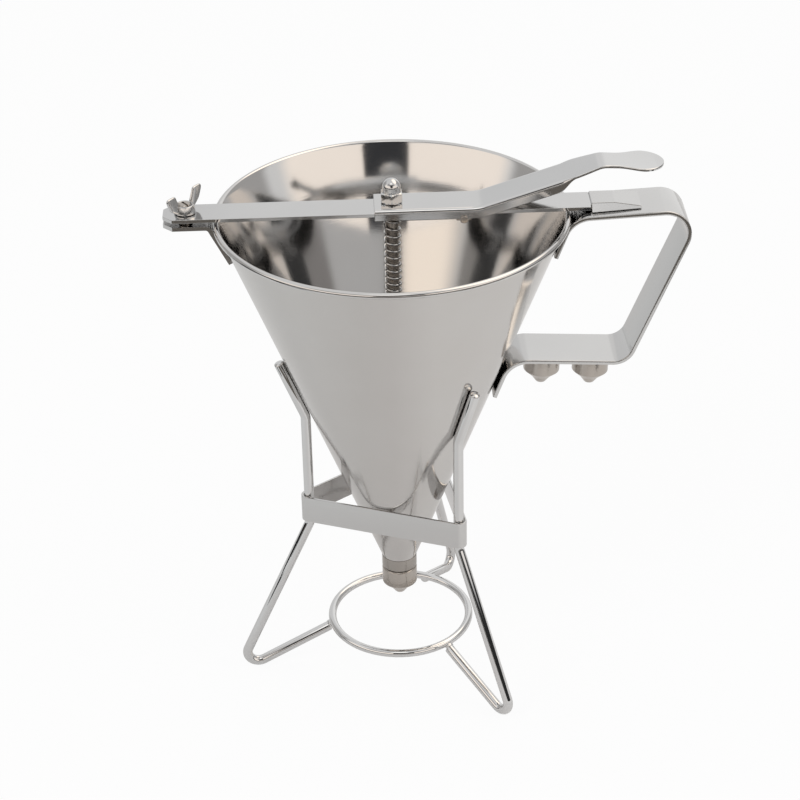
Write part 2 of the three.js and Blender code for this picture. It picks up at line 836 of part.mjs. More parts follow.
// A leg lies along the cone, drops straight, leans out to the foot and turns back in to carry the ring.
function leg(turn) {
  const off = (gap + legRadius) * coneLean;
  const tip = flat(wallRadius(legTop) + off, legTop);
  const upright = flat(0, 1);
  const knee = crossing(tip, flat(coneSlope, 1), flat(legUprightRadius, 0), upright);
  const path = roundedPath([
    tip,
    knee,
    flat(legUprightRadius, legLowerBendHeight),
    flat(footCornerRadius, footCornerHeight),
    flat(ringRadius + runEndOut, ringHeight - runEndDrop),
  ], [legUpperBend, legLowerBend, footBend]);
  const floor = slabUp([
    flat(0, -overrun),
    flat(footCornerRadius + overrun, -overrun),
    flat(footCornerRadius + overrun, overrun),
    flat(0, overrun),
  ], footCornerHeight - overrun, 0);
  return wireAlong(path, legRadius).subtract(floor).rotate([0, 0, (turn * 180) / Math.PI]);
}

// The rounded triangle that runs round the three legs at a given distance from their centres.
function bandPlan(distance) {
  return [backLegAngle, leftLegAngle, rightLegAngle].flatMap((leg) => {
    const at = flat(legUprightRadius * Math.cos(leg), legUprightRadius * Math.sin(leg));
    return Array.from({ length: smallSteps / 4 + 1 }, (_, i) => {
      const angle = leg + ((2 * Math.PI) / 3) * (i / (smallSteps / 4) - 1 / 2);
      return flat(at.x + distance * Math.cos(angle), at.y + distance * Math.sin(angle));
    });
  });
}

function standBand() {
  const inner = legRadius + gap;
  return slabUp(bandPlan(inner + bandSheet), bandBottom, bandTop)
    .subtract(slabUp(bandPlan(inner), bandBottom - overrun, bandTop + overrun));
}

function baseRing() {
  return solid(new THREE.TorusGeometry(ringRadius, ringWire, wireSides, ringSteps).translate(0, 0, ringHeight));
}

add('cone', cone(), satinSteel);
add('spout_socket', spoutSocket(), satinSteel);
add('nozzle', nozzle(nozzleBoreRadius).translate([0, 0, socketBottom - gap]), satinSteel);
add('handle_strap', handleStrap(), steel);
add('stud_left', underArm(stud(), spareLeftX), satinSteel);
add('stud_right', underArm(stud(), spareRightX), satinSteel);
add('spare_nozzle_left', underArm(nozzle(spareLeftBoreRadius), spareLeftX), satinSteel);
add('spare_nozzle_right', underArm(nozzle(spareRightBoreRadius), spareRightX), satinSteel);
add('bridge_socket', bridgeSocket(), steel);
add('bridge_bar', bridgeBar(), brightSteel);
add('ear_bracket', earBracket(), steel);
add('clamp_bolt', clampBolt(), satinSteel);
add('wing_nut', wingNut(), brightSteel);
add('pivot_saddle', pivotSaddle(), satinSteel);
add('pivot_pin', pivotPin(), satinSteel);
add('lever', lever(), brightSteel);
add('rod', round(rodRadius, rodBottom, nutBottom + rodReach, smallSteps), satinSteel);
add('acorn_nut', acornNut(), brightSteel);
add('valve_tip', valveTip(), satinSteel);
add('spring_seat', upperSeat(), satinSteel);
add('spring_collar', springCollar(), satinSteel);
add('retaining_clip', retainingClip(), springSteel);
add('spring', spring(), springSteel);
add('leg_front_left', leg(leftLegAngle), brightSteel);
add('leg_front_right', leg(rightLegAngle), brightSteel);
add('leg_back', leg(backLegAngle), brightSteel);
add('stand_band', standBand(), steel);
add('base_ring', baseRing(), brightSteel);

export default group;
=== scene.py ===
# %% [markdown]
# A dispensing funnel in polished stainless steel, on a stand of bent wire.
# The imported CAD model gives every size and every moving body. Blender adds what a faceted solid can't
# show: round wires, rolled edges, a dished thumb pad, and steel that mirrors a studio.

# %% Load the imported model
import math

import bpy
import bmesh
import numpy as np
from mathutils import Matrix, Vector


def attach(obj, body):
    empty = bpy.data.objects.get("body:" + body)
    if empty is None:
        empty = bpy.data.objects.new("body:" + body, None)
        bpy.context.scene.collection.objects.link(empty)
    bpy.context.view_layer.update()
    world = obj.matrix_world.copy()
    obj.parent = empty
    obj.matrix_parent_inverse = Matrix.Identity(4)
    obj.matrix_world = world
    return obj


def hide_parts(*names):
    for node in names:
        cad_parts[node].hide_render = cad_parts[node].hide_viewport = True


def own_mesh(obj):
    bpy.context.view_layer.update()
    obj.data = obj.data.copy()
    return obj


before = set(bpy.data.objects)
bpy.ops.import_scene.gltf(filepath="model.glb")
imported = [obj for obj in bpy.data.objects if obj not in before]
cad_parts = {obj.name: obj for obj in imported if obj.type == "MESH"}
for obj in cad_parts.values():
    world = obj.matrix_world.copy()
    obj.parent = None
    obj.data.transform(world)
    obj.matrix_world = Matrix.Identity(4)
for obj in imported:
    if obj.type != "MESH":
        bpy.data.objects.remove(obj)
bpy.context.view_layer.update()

# %% [markdown]
# The object is white metal on white, so the camera comes first: every later choice is judged through it.
# The view was worked out from the rim's ellipse, the bar's slope and the feet. It looks down by about
# thirty degrees through a long lens, and leans by one degree, as the picture does.

# %% Camera
MM = 0.001
PICTURE_PIXELS, SENSOR_WIDTH = 800, 36


def add_object(name, data):
    """An object in the scene that carries the data."""
    thing = bpy.data.objects.new(name, data)
    bpy.context.scene.collection.objects.link(thing)
    return thing


def aim_camera(distance, yaw, elevation, roll, target, focal_pixels):
    """The camera stands off from the target along two angles, then turns about its own axis by the roll.

    The lens in millimetres is the focal length in pixels times the sensor's width over the picture's.
    """
    level = math.cos(elevation)
    back = np.array([math.sin(yaw) * level, -math.cos(yaw) * level, math.sin(elevation)])
    right = np.array([math.cos(yaw), math.sin(yaw), 0.0])
    up = np.cross(right, -back)
    side = math.cos(roll) * right + math.sin(roll) * up
    top = -math.sin(roll) * right + math.cos(roll) * up
    data = bpy.data.cameras.new("camera")
    data.lens = focal_pixels * SENSOR_WIDTH / PICTURE_PIXELS
    data.sensor_width = SENSOR_WIDTH
    data.clip_end = 20
    camera = add_object("camera", data)
    place = (np.array(target) + distance * back) * MM
    turn = Matrix([[side[i], top[i], back[i]] for i in range(3)]).to_4x4()
    camera.matrix_world = Matrix.Translation(Vector(place)) @ turn
    bpy.context.scene.camera = camera
    return camera


camera = aim_camera(
    distance=1121.4,
    yaw=math.radians(-1.5),
    elevation=math.radians(30.4),
    roll=math.radians(-1.2),
    target=(2.0, 0.0, 151.3),
    focal_pixels=2259.4,
)
print("camera at", [round(v, 3) for v in camera.matrix_world.translation])

# %% [markdown]
# Most pieces are surfaces on a grid: rows run along the piece and columns run round its section.
# One helper turns such a grid into a mesh, closes it where it meets itself, and welds the poles.
# Edges sharper than thirty degrees stay crisp, and the rest is shaded round.

# %% From a grid of points to a mesh
PIECES = {}
SHARP_ANGLE = 30.0
WELD_DISTANCE, SLIVER = 1e-6, 1e-7


def skin(name, grids, body, material, replaces=(), crisp=SHARP_ANGLE):
    """Joins grids of points into one mesh.

    Each grid is (points, loop_rows, caps). The points are rows by columns by three, in millimetres, and the
    columns close on themselves. Loop_rows says if the last row meets the first, and caps closes the ends.
    """
    vertices, faces, start = [], [], 0
    for points, loop_rows, caps in grids:
        rows, columns = points.shape[:2]
        index = start + np.arange(rows * columns).reshape(rows, columns)
        below = index if loop_rows else index[:-1]
        above = np.roll(index, -1, axis=0) if loop_rows else index[1:]
        quads = np.stack([below, np.roll(below, -1, axis=1), np.roll(above, -1, axis=1), above], axis=-1)
        faces += quads.reshape(-1, 4).tolist()
        if caps:
            faces += [index[0][::-1].tolist(), index[-1].tolist()]
        vertices.append(points.reshape(-1, 3))
        start += rows * columns
    mesh = bpy.data.meshes.new(name)
    mesh.from_pydata((np.concatenate(vertices) * MM).tolist(), [], faces)
    return finish_piece(name, mesh, body, material, replaces, crisp)


def finish_piece(name, mesh, body, material, replaces, crisp):
    """Welds doubles, turns the faces outward, shades them, and hands the piece to its moving body."""
    shape = bmesh.new()
    shape.from_mesh(mesh)
    bmesh.ops.remove_doubles(shape, verts=shape.verts, dist=WELD_DISTANCE)
    bmesh.ops.dissolve_degenerate(shape, edges=shape.edges, dist=SLIVER)
    bmesh.ops.recalc_face_normals(shape, faces=shape.faces)
    shape.to_mesh(mesh)
    shape.free()
    mesh.shade_smooth()
    mesh.set_sharp_from_angle(angle=math.radians(crisp))
    mesh.materials.append(material)
    piece = add_object(name, mesh)
    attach(piece, body)
    if replaces:
        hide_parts(*replaces)
    PIECES[name] = piece
    print(f"{name}: {len(mesh.polygons)} faces")
    return piece


print("edges over", SHARP_ANGLE, "degrees stay crisp")

# %% [markdown]
# Turned parts are the simplest: a profile of radius and height goes once round the axis. No tool leaves a
# sharp corner, so each corner of the profile first becomes a short curve.

# %% Turned profiles
LARGEST_SHARE = 0.45


def softened(profile, radius, steps=4, closed=True):
    """Each corner of a profile becomes a quadratic curve that starts and ends at most the radius away.

    On a short side the curve takes no more than the largest share of that side.
    """
    points = np.asarray(profile, float)
    before, after = np.roll(points, 1, axis=0), np.roll(points, -1, axis=0)
    reach_in = np.linalg.norm(before - points, axis=1, keepdims=True)
    reach_out = np.linalg.norm(after - points, axis=1, keepdims=True)
    start = points + (before - points) * np.minimum(radius / reach_in, LARGEST_SHARE)
    end = points + (after - points) * np.minimum(radius / reach_out, LARGEST_SHARE)
    share = np.linspace(0, 1, steps + 1)[None, :, None]
    rest = 1 - share
    curve = rest**2 * start[:, None] + 2 * share * rest * points[:, None] + share**2 * end[:, None]
    if not closed:
        curve[0], curve[-1] = points[0], points[-1]
    return curve.reshape(-1, 2)


def turned(profile, steps=128, centre=(0.0, 0.0), tilt=0.0, pivot=0.0):
    """Radius times cosine and sine of the angle, at the profile's height.

    The tilt then leans the result about Y, at the pivot's height.
    """
    profile = np.asarray(profile, float)
    angle = np.linspace(0, 2 * math.pi, steps, endpoint=False)
    x = profile[:, :1] * np.cos(angle)
    y = profile[:, :1] * np.sin(angle)
    z = np.repeat(profile[:, 1:], steps, axis=1) - pivot
    lean_x = x * math.cos(tilt) + z * math.sin(tilt)
    lean_z = -x * math.sin(tilt) + z * math.cos(tilt)
    return np.stack([lean_x + centre[0], y + centre[1], lean_z + pivot], axis=-1)


print("a softened square has", len(softened([(0, 0), (1, 0), (1, 1), (0, 1)], 0.1)), "points")

# %% [markdown]
# Stainless steel has almost no colour of its own: it shows the room. What tells one piece from the next is
# how it was polished. Buffed sheet has faint lines along the stroke, turned parts have rings, drawn wire is
# nearly a mirror. Each finish is one metallic shader whose roughness and bump come from stretched noise on
# object coordinates, with a slow cloud that shifts the grey a little, as handling and polish do.

# %% Nodes for a material
def new_material(name):
    """A material whose node tree holds only its output."""
    material = bpy.data.materials.new(name)
    material.use_nodes = True
    nodes = material.node_tree.nodes
    nodes.clear()
    return material, nodes, material.node_tree.links, nodes.new("ShaderNodeOutputMaterial")


def add_node(nodes, kind, **values):
    """A new node with its inputs set by name, where an underscore stands for a space."""
    node = nodes.new(kind)
    for name, value in values.items():
        node.inputs[name.replace("_", " ")].default_value = value
    return node


print("materials so far:", len(bpy.data.materials))


# %% Steel finishes
CLOUD_SCALE, SCRATCH_HEIGHT, SMOOTHEST = 38.0, 0.0002, 0.02


def steel(name, grey, roughness, stroke, depth=0.02, cloud=0.03, warm=0.0, spread=0.05):
    """A metallic shader. Stroke stretches the fine noise along X, Y and Z: a small number makes long lines.

    The slow noise mixes a darker and a lighter grey. The sum of both noises moves the roughness by the
    spread to either side, and the fine noise alone drives the bump.
    """
    material, nodes, links, out = new_material(name)
    shader = add_node(nodes, "ShaderNodeBsdfPrincipled", Metallic=1.0)
    links.new(shader.outputs["BSDF"], out.inputs["Surface"])
    place = add_node(nodes, "ShaderNodeTexCoord")
    stretch = add_node(nodes, "ShaderNodeMapping", Scale=stroke)
    links.new(place.outputs["Object"], stretch.inputs["Vector"])
    lines = add_node(nodes, "ShaderNodeTexNoise", Scale=1.0, Detail=5.0, Roughness=0.62)
    links.new(stretch.outputs["Vector"], lines.inputs["Vector"])
    slow = add_node(nodes, "ShaderNodeTexNoise", Scale=CLOUD_SCALE, Detail=2.5)
    links.new(place.outputs["Object"], slow.inputs["Vector"])
    low = np.array([grey + warm, grey, grey - warm]) * (1 - cloud)
    high = np.array([grey + warm * 0.6, grey, grey - warm * 0.6]) * (1 + cloud)
    tint = add_node(nodes, "ShaderNodeMixRGB", Color1=(*low, 1), Color2=(*high, 1))
    links.new(slow.outputs["Fac"], tint.inputs["Fac"])
    links.new(tint.outputs["Color"], shader.inputs["Base Color"])
    both = add_node(nodes, "ShaderNodeMath")
    both.operation = "ADD"
    links.new(lines.outputs["Fac"], both.inputs[0])
    links.new(slow.outputs["Fac"], both.inputs[1])
    least, most = max(roughness - spread, SMOOTHEST), roughness + spread
    rough = add_node(nodes, "ShaderNodeMapRange", From_Min=0.6, From_Max=1.4, To_Min=least, To_Max=most)
    links.new(both.outputs["Value"], rough.inputs["Value"])
    links.new(rough.outputs["Result"], shader.inputs["Roughness"])
    bump = add_node(nodes, "ShaderNodeBump", Strength=depth, Distance=SCRATCH_HEIGHT)
    links.new(lines.outputs["Fac"], bump.inputs["Height"])
    links.new(bump.outputs["Normal"], shader.inputs["Normal"])
    return material


CONE_STEEL = steel("cone_steel", 0.605, 0.10, (30, 30, 2600), depth=0.05, warm=0.018)
MIRROR_STEEL = steel(
    "mirror_steel", 0.64, 0.095, (30, 30, 1800), depth=0.025, cloud=0.02, warm=0.008, spread=0.025
)
TURNED_STEEL = steel("turned_steel", 0.45, 0.18, (60, 60, 9000), depth=0.10, warm=0.048)
# The socket's darker grey is painted shade, for its place under the cone.
SOCKET_PAINTED_SHADE_STEEL = steel("socket_painted_shade_steel", 0.37, 0.20, (60, 60, 9000), depth=0.10, warm=0.035)
STRAP_STEEL = steel("strap_steel", 0.62, 0.10, (500, 6000, 500), depth=0.04, warm=0.004)
BAR_STEEL = steel("bar_steel", 0.64, 0.08, (250, 5200, 5200), depth=0.03)
LEVER_STEEL = steel("lever_steel", 0.65, 0.07, (300, 4200, 4200), depth=0.02)
WIRE_STEEL = steel("wire_steel", 0.70, 0.03, (900, 900, 900), depth=0.01, spread=0.01)
CAST_STEEL = steel("cast_steel", 0.62, 0.12, (1500, 1500, 1500), depth=0.12)
SPRING_STEEL = steel("spring_steel", 0.55, 0.12, (2500, 2500, 2500), depth=0.06)
print("finishes:", [m.name for m in bpy.data.materials if m.name.endswith("steel")])

# %% [markdown]
# The cone is one sheet, rolled and welded, with its rim curled outward into a bead. It is a turned profile:
# up the outer wall, round the bead, and down the inner wall. The bead's arc has many steps, because a rim
# this bright shows every flat. The straight wall needs few rows, since its curve is all in the turning.

# %% Cone
CONE_BOTTOM, CONE_TOP = 60.2, 252.0
BOTTOM_RADIUS, TOP_RADIUS = 8.7, 82.5
CONE_SLOPE = (TOP_RADIUS - BOTTOM_RADIUS) / (CONE_TOP - CONE_BOTTOM)
CONE_LEAN = math.hypot(1, CONE_SLOPE)
CONE_SHEET = 1.2
BEAD_RADIUS, BEAD_OUT, BEAD_HEIGHT = 1.5, 83.5, 253.5
BEAD_ARC = (-2.2, 2.7)
OUTER_TOP, INNER_TOP = 251.0, 252.6
GAP = 0.3


def wall_radius(height):
    """The outer radius of the cone, which grows evenly with height."""
    return BOTTOM_RADIUS + (height - CONE_BOTTOM) * CONE_SLOPE


def cone_profile():
    """Outer wall, the bead's arc, and the inner wall, as pairs of radius and height."""
    angle = np.linspace(*BEAD_ARC, 28)
    bead_radius = BEAD_OUT + BEAD_RADIUS * np.cos(angle)
    bead = np.stack([bead_radius, BEAD_HEIGHT + BEAD_RADIUS * np.sin(angle)], axis=1)
    up = np.linspace(CONE_BOTTOM, OUTER_TOP, 12)
    outer = np.stack([wall_radius(up), up], axis=1)
    down = np.linspace(INNER_TOP, CONE_BOTTOM, 12)
    inside = np.stack([wall_radius(down) - CONE_SHEET * CONE_LEAN, down], axis=1)
    return np.concatenate([outer, bead, inside, outer[:1]])


def polish_inside(piece):
    """Faces nearer the axis than the middle of the sheet, and those of the bead, get the mirror finish."""
    mesh = piece.data
    centres = np.empty(len(mesh.polygons) * 3)
    mesh.polygons.foreach_get("center", centres)
    x, y, z = centres.reshape(-1, 3).T / MM
    inside = (np.hypot(x, y) < wall_radius(z) - CONE_SHEET / 2 * CONE_LEAN) | (z > CONE_TOP)
    mesh.materials.append(MIRROR_STEEL)
    mesh.polygons.foreach_set("material_index", inside.astype(np.int32))


cone_grid = turned(cone_profile(), 360)
polish_inside(skin("cone_skin", [(cone_grid, False, False)], "funnel", CONE_STEEL, ["cone"]))

# %% [markdown]
# Under the cone sits a turned socket, and the nozzle screws onto it. Each has a small chamfer where they
# meet, which shows as one dark groove. The socket was turned a little rougher, and its darker grey is
# painted shade, for its place under the cone. The three nozzles are alike but for the bore of the tip, so
# one profile serves all of them, and the two spare ones lean with the handle's lower arm.

# %% Socket and nozzles
NOZZLE_SHOULDER = 53.1


def nozzle_profile(bore):
    """Heights below the shoulder: two cones down to the tip, and the cavity for the thread inside."""
    start = (bore, -16.3)
    body = [(2.45, -16.3), (4.9, -13.0), (8.9, -9.4), (8.9, -0.6), (8.3, 0.0)]
    inside = [(7.3, 0.0), (7.3, -7.7), (bore, -10.6)]
    return softened([start, *body, *inside], 0.22, 3)


def add_nozzle(name, node, bore, place, tilt=0.0):
    """A nozzle whose shoulder sits at the given X and height."""
    profile = nozzle_profile(bore) + np.array([0.0, place[1]])
    profile = np.concatenate([profile, profile[:1]])
    grid = turned(profile, 96, (place[0], 0.0), tilt, place[1])
    skin(name, [(grid, False, False)], node, TURNED_STEEL, [node])


SPIGOT = [(3, 46), (7, 46), (7, 53.4)]
COLLAR_OUTSIDE = [(8.3, 53.4), (8.9, 54), (8.9, CONE_BOTTOM)]
VALVE_SEAT = [(BOTTOM_RADIUS - CONE_SHEET * CONE_LEAN, CONE_BOTTOM), (3, 55.5)]
socket = softened([*SPIGOT, *COLLAR_OUTSIDE, *VALVE_SEAT], 0.18, 3)
socket_grid = turned(np.concatenate([socket, socket[:1]]), 96)
skin("socket_skin", [(socket_grid, False, False)], "funnel", SOCKET_PAINTED_SHADE_STEEL, ["spout_socket"])
add_nozzle("nozzle_skin", "nozzle", 1.5, (0.0, NOZZLE_SHOULDER))

# %% [markdown]
# Sheet and wire have the same two parts: a line that was bent, and a section that was carried along it.
# Real bends are arcs, so each corner of a line is replaced by the arc that touches both of its sides.
# The corners themselves come from where the straight runs would cross.

# %% Lines with round bends
def rounded(corners, radii, steps=10):
    """The line through the corners, where an arc that touches both sides replaces each inner corner."""
    corners = np.asarray(corners, float)
    runs = [corners[:1]]
    for before, corner, after, radius in zip(corners, corners[1:], corners[2:], radii):
        into = (corner - before) / np.linalg.norm(corner - before)
        out = (after - corner) / np.linalg.norm(after - corner)
        turn = math.acos(float(np.clip(into @ out, -1, 1)))
        inward = out - into
        inward /= np.linalg.norm(inward)
        centre = corner + inward * radius / math.cos(turn / 2)
        start = corner - into * radius * math.tan(turn / 2) - centre
        sweep = np.linspace(0, turn, steps + 1)[:, None]
        runs.append(centre + start * np.cos(sweep) + into * radius * np.sin(sweep))
    runs.append(corners[-1:])
    return np.concatenate(runs)


def crossing(start, direction, other, other_direction):
    """Where two lines meet: the step along the first is a ratio of two cross products."""
    start, direction = np.asarray(start, float), np.asarray(direction, float)
    other, other_direction = np.asarray(other, float), np.asarray(other_direction, float)
    apart = other - start
    share = (apart[0] * other_direction[1] - apart[1] * other_direction[0]) / (
        direction[0] * other_direction[1] - direction[1] * other_direction[0]
    )
    return start + direction * share


print("a right angle rounded to 3 mm has", len(rounded([(0, 0), (9, 0), (9, 9)], [3.0])), "points")


# %% Sections carried along a line
def about_z(x, y, z, turn):
    """Points turned about Z: the new X is X cosine less Y sine, and the new Y is X sine plus Y cosine."""
    cosine, sine = math.cos(turn), math.sin(turn)
    return np.stack([x * cosine - y * sine, x * sine + y * cosine, z], axis=-1)


def along(path, section, turn=0.0):
    """Carries a section along a path in the XZ plane, then turns it about Z.

    The section's first number goes along the path's normal and its second along Y. At each point the normal
    is scaled by one over the cosine of half the bend, so the sides stay parallel.
    """
    path = np.asarray(path, float)
    step = np.diff(path, axis=0)
    step /= np.linalg.norm(step, axis=1, keepdims=True)
    before = np.concatenate([step[:1], step])
    after = np.concatenate([step, step[-1:]])
    tangent = before + after
    tangent /= np.linalg.norm(tangent, axis=1, keepdims=True)
    stretch = 1 / np.sum(tangent * after, axis=1, keepdims=True)
    normal = np.stack([-tangent[:, 1], tangent[:, 0]], axis=1) * stretch
    section = np.asarray(section, float)
    if section.ndim == 2:
        section = np.repeat(section[None], len(path), axis=0)
    x = path[:, None, 0] + normal[:, None, 0] * section[..., 0]
    z = path[:, None, 1] + normal[:, None, 1] * section[..., 0]
    return about_z(x, section[..., 1], z, turn)


def box_section(thickness, width, edge=0.35):
    """A rectangle of that thickness and width, centred, with softened corners."""
    t, w = thickness / 2, width / 2
    return softened([(-t, -w), (t, -w), (t, w), (-t, w)], edge)


print("points round the section of a strap:", len(box_section(2.0, 28.0)))

# %% [markdown]
# The handle is one long strap of polished steel, bent four times and welded to the cone at both ends.
# Each of its corners is rounded to its own radius. A strap that is stamped and buffed has soft edges, so
# the section is a rectangle with rounded corners.

# %% Handle strap
ARM_SLOPE, GRIP_SLOPE, LOWER_SLOPE = 0.0457, 0.4141, -0.051
STRAP_SHEET, STRAP_WIDTH = 2.0, 28.0
UPPER_END, LOWER_END = 234.0, 159.0
ARM_POINT, LOWER_POINT = (90.0, 254.0), (58.0, 178.5)
GRIP_FACE, GRIP_HEIGHT = 141.4, 242.7


def off_wall(height):
    """A point that clears the cone's wall by the gap and half the sheet."""
    return np.array([wall_radius(height) + (GAP + STRAP_SHEET / 2) * CONE_LEAN, height])


def strap_corners():
    """Foot on the cone, top inner, top outer, bottom outer, bottom inner, foot on the cone."""
    wall, upper, grip, lower = (CONE_SLOPE, 1), (1, ARM_SLOPE), (GRIP_SLOPE, 1), (1, LOWER_SLOPE)
    outside = (GRIP_FACE - STRAP_SHEET / 2 * math.hypot(1, GRIP_SLOPE), GRIP_HEIGHT)
    high_foot, low_foot = off_wall(UPPER_END), off_wall(LOWER_END)
    return [
        high_foot,
        crossing(high_foot, wall, ARM_POINT, upper),
        crossing(outside, grip, ARM_POINT, upper),
        crossing(outside, grip, LOWER_POINT, lower),
        crossing(low_foot, wall, LOWER_POINT, lower),
        low_foot,
    ]


strap_line = rounded(strap_corners(), [12.5, 11.5, 10.0, 13.0], 24)
strap_grid = along(strap_line, box_section(STRAP_SHEET, STRAP_WIDTH, 0.5))
skin("strap_skin", [(strap_grid, False, True)], "funnel", STRAP_STEEL, ["handle_strap"])

# %% Spare nozzles
TILT = math.atan(-LOWER_SLOPE)
LOWER_TOP = 179.5
SPARES = {"spare_nozzle_left": (72.5, 1.0), "spare_nozzle_right": (96.5, 2.0)}


def under_arm(x):
    """The height of the lower arm's underside at X, less the gap."""
    top = LOWER_TOP + (x - LOWER_POINT[0]) * LOWER_SLOPE
    return top - STRAP_SHEET * math.hypot(1, LOWER_SLOPE) - LOWER_SLOPE - GAP


for node, (x, bore) in SPARES.items():
    add_nozzle(f"{node}_skin", node, bore, (x, under_arm(x)), TILT)

# %% [markdown]
# Flat plates are already right in the CAD model, except that their edges are perfectly sharp, and real
# edges catch light. A copy of such a node is merged, its flat triangles are joined, and a narrow bevel
# rounds what is left. The bar across the cone, its bracket, the pocket and the saddle are made this way.

# %% Bevelled plates
CAD_WELD, FLAT_ANGLE = 2e-6, 1.0


def bevelled(name, node, body, material, width, segments=3):
    """A merged copy of a CAD node whose sharp edges get a round bevel of the given width."""
    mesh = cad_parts[node].data.copy()
    mesh.name = name
    mesh.materials.clear()
    shape = bmesh.new()
    shape.from_mesh(mesh)
    bmesh.ops.remove_doubles(shape, verts=shape.verts, dist=CAD_WELD)
    flat = math.radians(FLAT_ANGLE)
    bmesh.ops.dissolve_limit(shape, angle_limit=flat, verts=shape.verts, edges=shape.edges)
    shape.to_mesh(mesh)
    shape.free()
    piece = finish_piece(name, mesh, body, material, [node], SHARP_ANGLE)
    bevel = piece.modifiers.new("edge", "BEVEL")
    bevel.width = width * MM
    bevel.segments = segments
    bevel.limit_method = "ANGLE"
    bevel.angle_limit = math.radians(SHARP_ANGLE)
    bevel.harden_normals = True


bevelled("bar_skin", "bridge_bar", "funnel", BAR_STEEL, 0.3)
bevelled("ear_skin", "ear_bracket", "funnel", STRAP_STEEL, 0.3)
bevelled("pocket_skin", "bridge_socket", "funnel", STRAP_STEEL, 0.35)
bevelled("saddle_skin", "pivot_saddle", "funnel", TURNED_STEEL, 0.3)

# %% [markdown]
# The lever is pressed from one sheet. Over the bar it is a channel, then it climbs, loses its sides and
# ends in a thumb pad with a shallow dish. The outer skin is one grid: each row is an upside-down U whose
# width and depth change along the lever, and the Solidify modifier gives it the thickness of the sheet.

# %% Widths and depths of the lever
LEVER_SHEET, LEVER_TOP = 1.2, 260.1
LEVER_BACK, LEVER_END = -8.4, 128.2
CHANNEL, NECK_IN, PAD_OUT = 10.3, 2.45, 3.15
NOSE_START, NOSE_LENGTH = 117.2, 11.0
FLANGE = 5.4
PIVOT_X, PIVOT_HEIGHT, LOBE_RADIUS = 33.7, 254.6, 2.2


def smooth_step(value, start, end):
    """Zero before start, one after end, and an S curve between."""
    share = np.clip((value - start) / (end - start), 0, 1)
    return share * share * (3 - 2 * share)


def quarter_fall(value, start, length, least=0.0):
    """One before start, then down along a quarter of a circle: the root of one less the share squared.

    Least is the smallest number under the root, which keeps the last points apart.
    """
    share = np.clip((value - start) / length, 0, 1)
    return np.sqrt(np.clip(1 - share**2, least, 1))


def lever_width(x):
    """Half of the lever's width: even over the channel, narrow at the neck, wide and round at the pad."""
    width = CHANNEL - NECK_IN * smooth_step(x, 84.0, 103.0) + PAD_OUT * smooth_step(x, 106.0, 119.0)
    return width * quarter_fall(x, NOSE_START, NOSE_LENGTH, least=0.0004)


def flange_depth(x):
    """The height of the sides: full, then a curved end, with a round lobe at the pivot."""
    plain = FLANGE - (FLANGE - LEVER_SHEET) * smooth_step(x, 77.0, 86.0)
    reach = np.clip(LOBE_RADIUS**2 - (x - PIVOT_X) ** 2, 0, None)
    lobe = np.where(reach > 0, LEVER_TOP - PIVOT_HEIGHT + np.sqrt(reach), 0)
    return np.maximum(plain, lobe)


print("half widths at channel, neck and pad:", lever_width(np.array([0.0, 104.5, 117.2])).round(2))


# %% Lever
SLOT_LEFT, SLOT_RIGHT, SLOT_SIDE = -4.6, 3.5, 3.5
PRESS_BEND, DISH_DEPTH = 1.9, 0.35


def lever_line():
    """X, height and slope along the middle of the sheet, at even steps that grow finer at the round end."""
    corners = np.array([(LEVER_BACK, LEVER_TOP), (41.0, LEVER_TOP), (98.5, 278.6), (LEVER_END, 276.9)])
    line = rounded(corners - [0, LEVER_SHEET / 2], [24.0, 12.0], 30)
    length = np.concatenate([[0], np.cumsum(np.linalg.norm(np.diff(line, axis=0), axis=1))])
    even = np.linspace(0, 1, 420)
    near_end = 1 - 0.08 * np.linspace(0.05, 1, 40) ** 2
    place = np.unique(np.concatenate([even, near_end])) * length[-1]
    x = np.interp(place, length, line[:, 0])
    z = np.interp(place, length, line[:, 1])
    return x, z, np.gradient(z, x)


def lever_grid(across=22, down=14):
    """Points of the top skin: rows along the lever, columns from one lower edge over the top to the other."""
    x, z, slope = lever_line()
    normal = np.stack([-slope, np.ones_like(slope)], axis=1) / np.hypot(1, slope)[:, None]
    width, depth = lever_width(x), flange_depth(x)
    corner = np.minimum(PRESS_BEND, np.minimum(width * 0.4, depth * 0.45))
    side = np.linspace(0, 1, down)[:, None]
    bend = np.linspace(0, math.pi / 2, 7)[1:-1, None]
    top = np.linspace(-1, 1, across)[:, None]
    left_y = np.repeat(-width[None], down, axis=0)
    left_h = -depth + (depth - corner) * side
    arc_y = -width + corner * (1 - np.cos(bend))
    arc_h = -corner * (1 - np.sin(bend))
    top_y = (width - corner) * top
    dish = smooth_step(x, 101.0, 116.0) * np.clip((LEVER_END - x) / 4.0, 0, 1)
    top_h = -DISH_DEPTH * dish * (1 - top**2)
    y = np.concatenate([left_y, arc_y, top_y, -arc_y[::-1], -left_y[::-1]])
    height = np.concatenate([left_h, arc_h, top_h, arc_h[::-1], left_h[::-1]])
    lift = height + LEVER_SHEET / 2
    return np.stack([x + normal[:, 0] * lift, y, z + normal[:, 1] * lift], axis=-1).transpose(1, 0, 2)


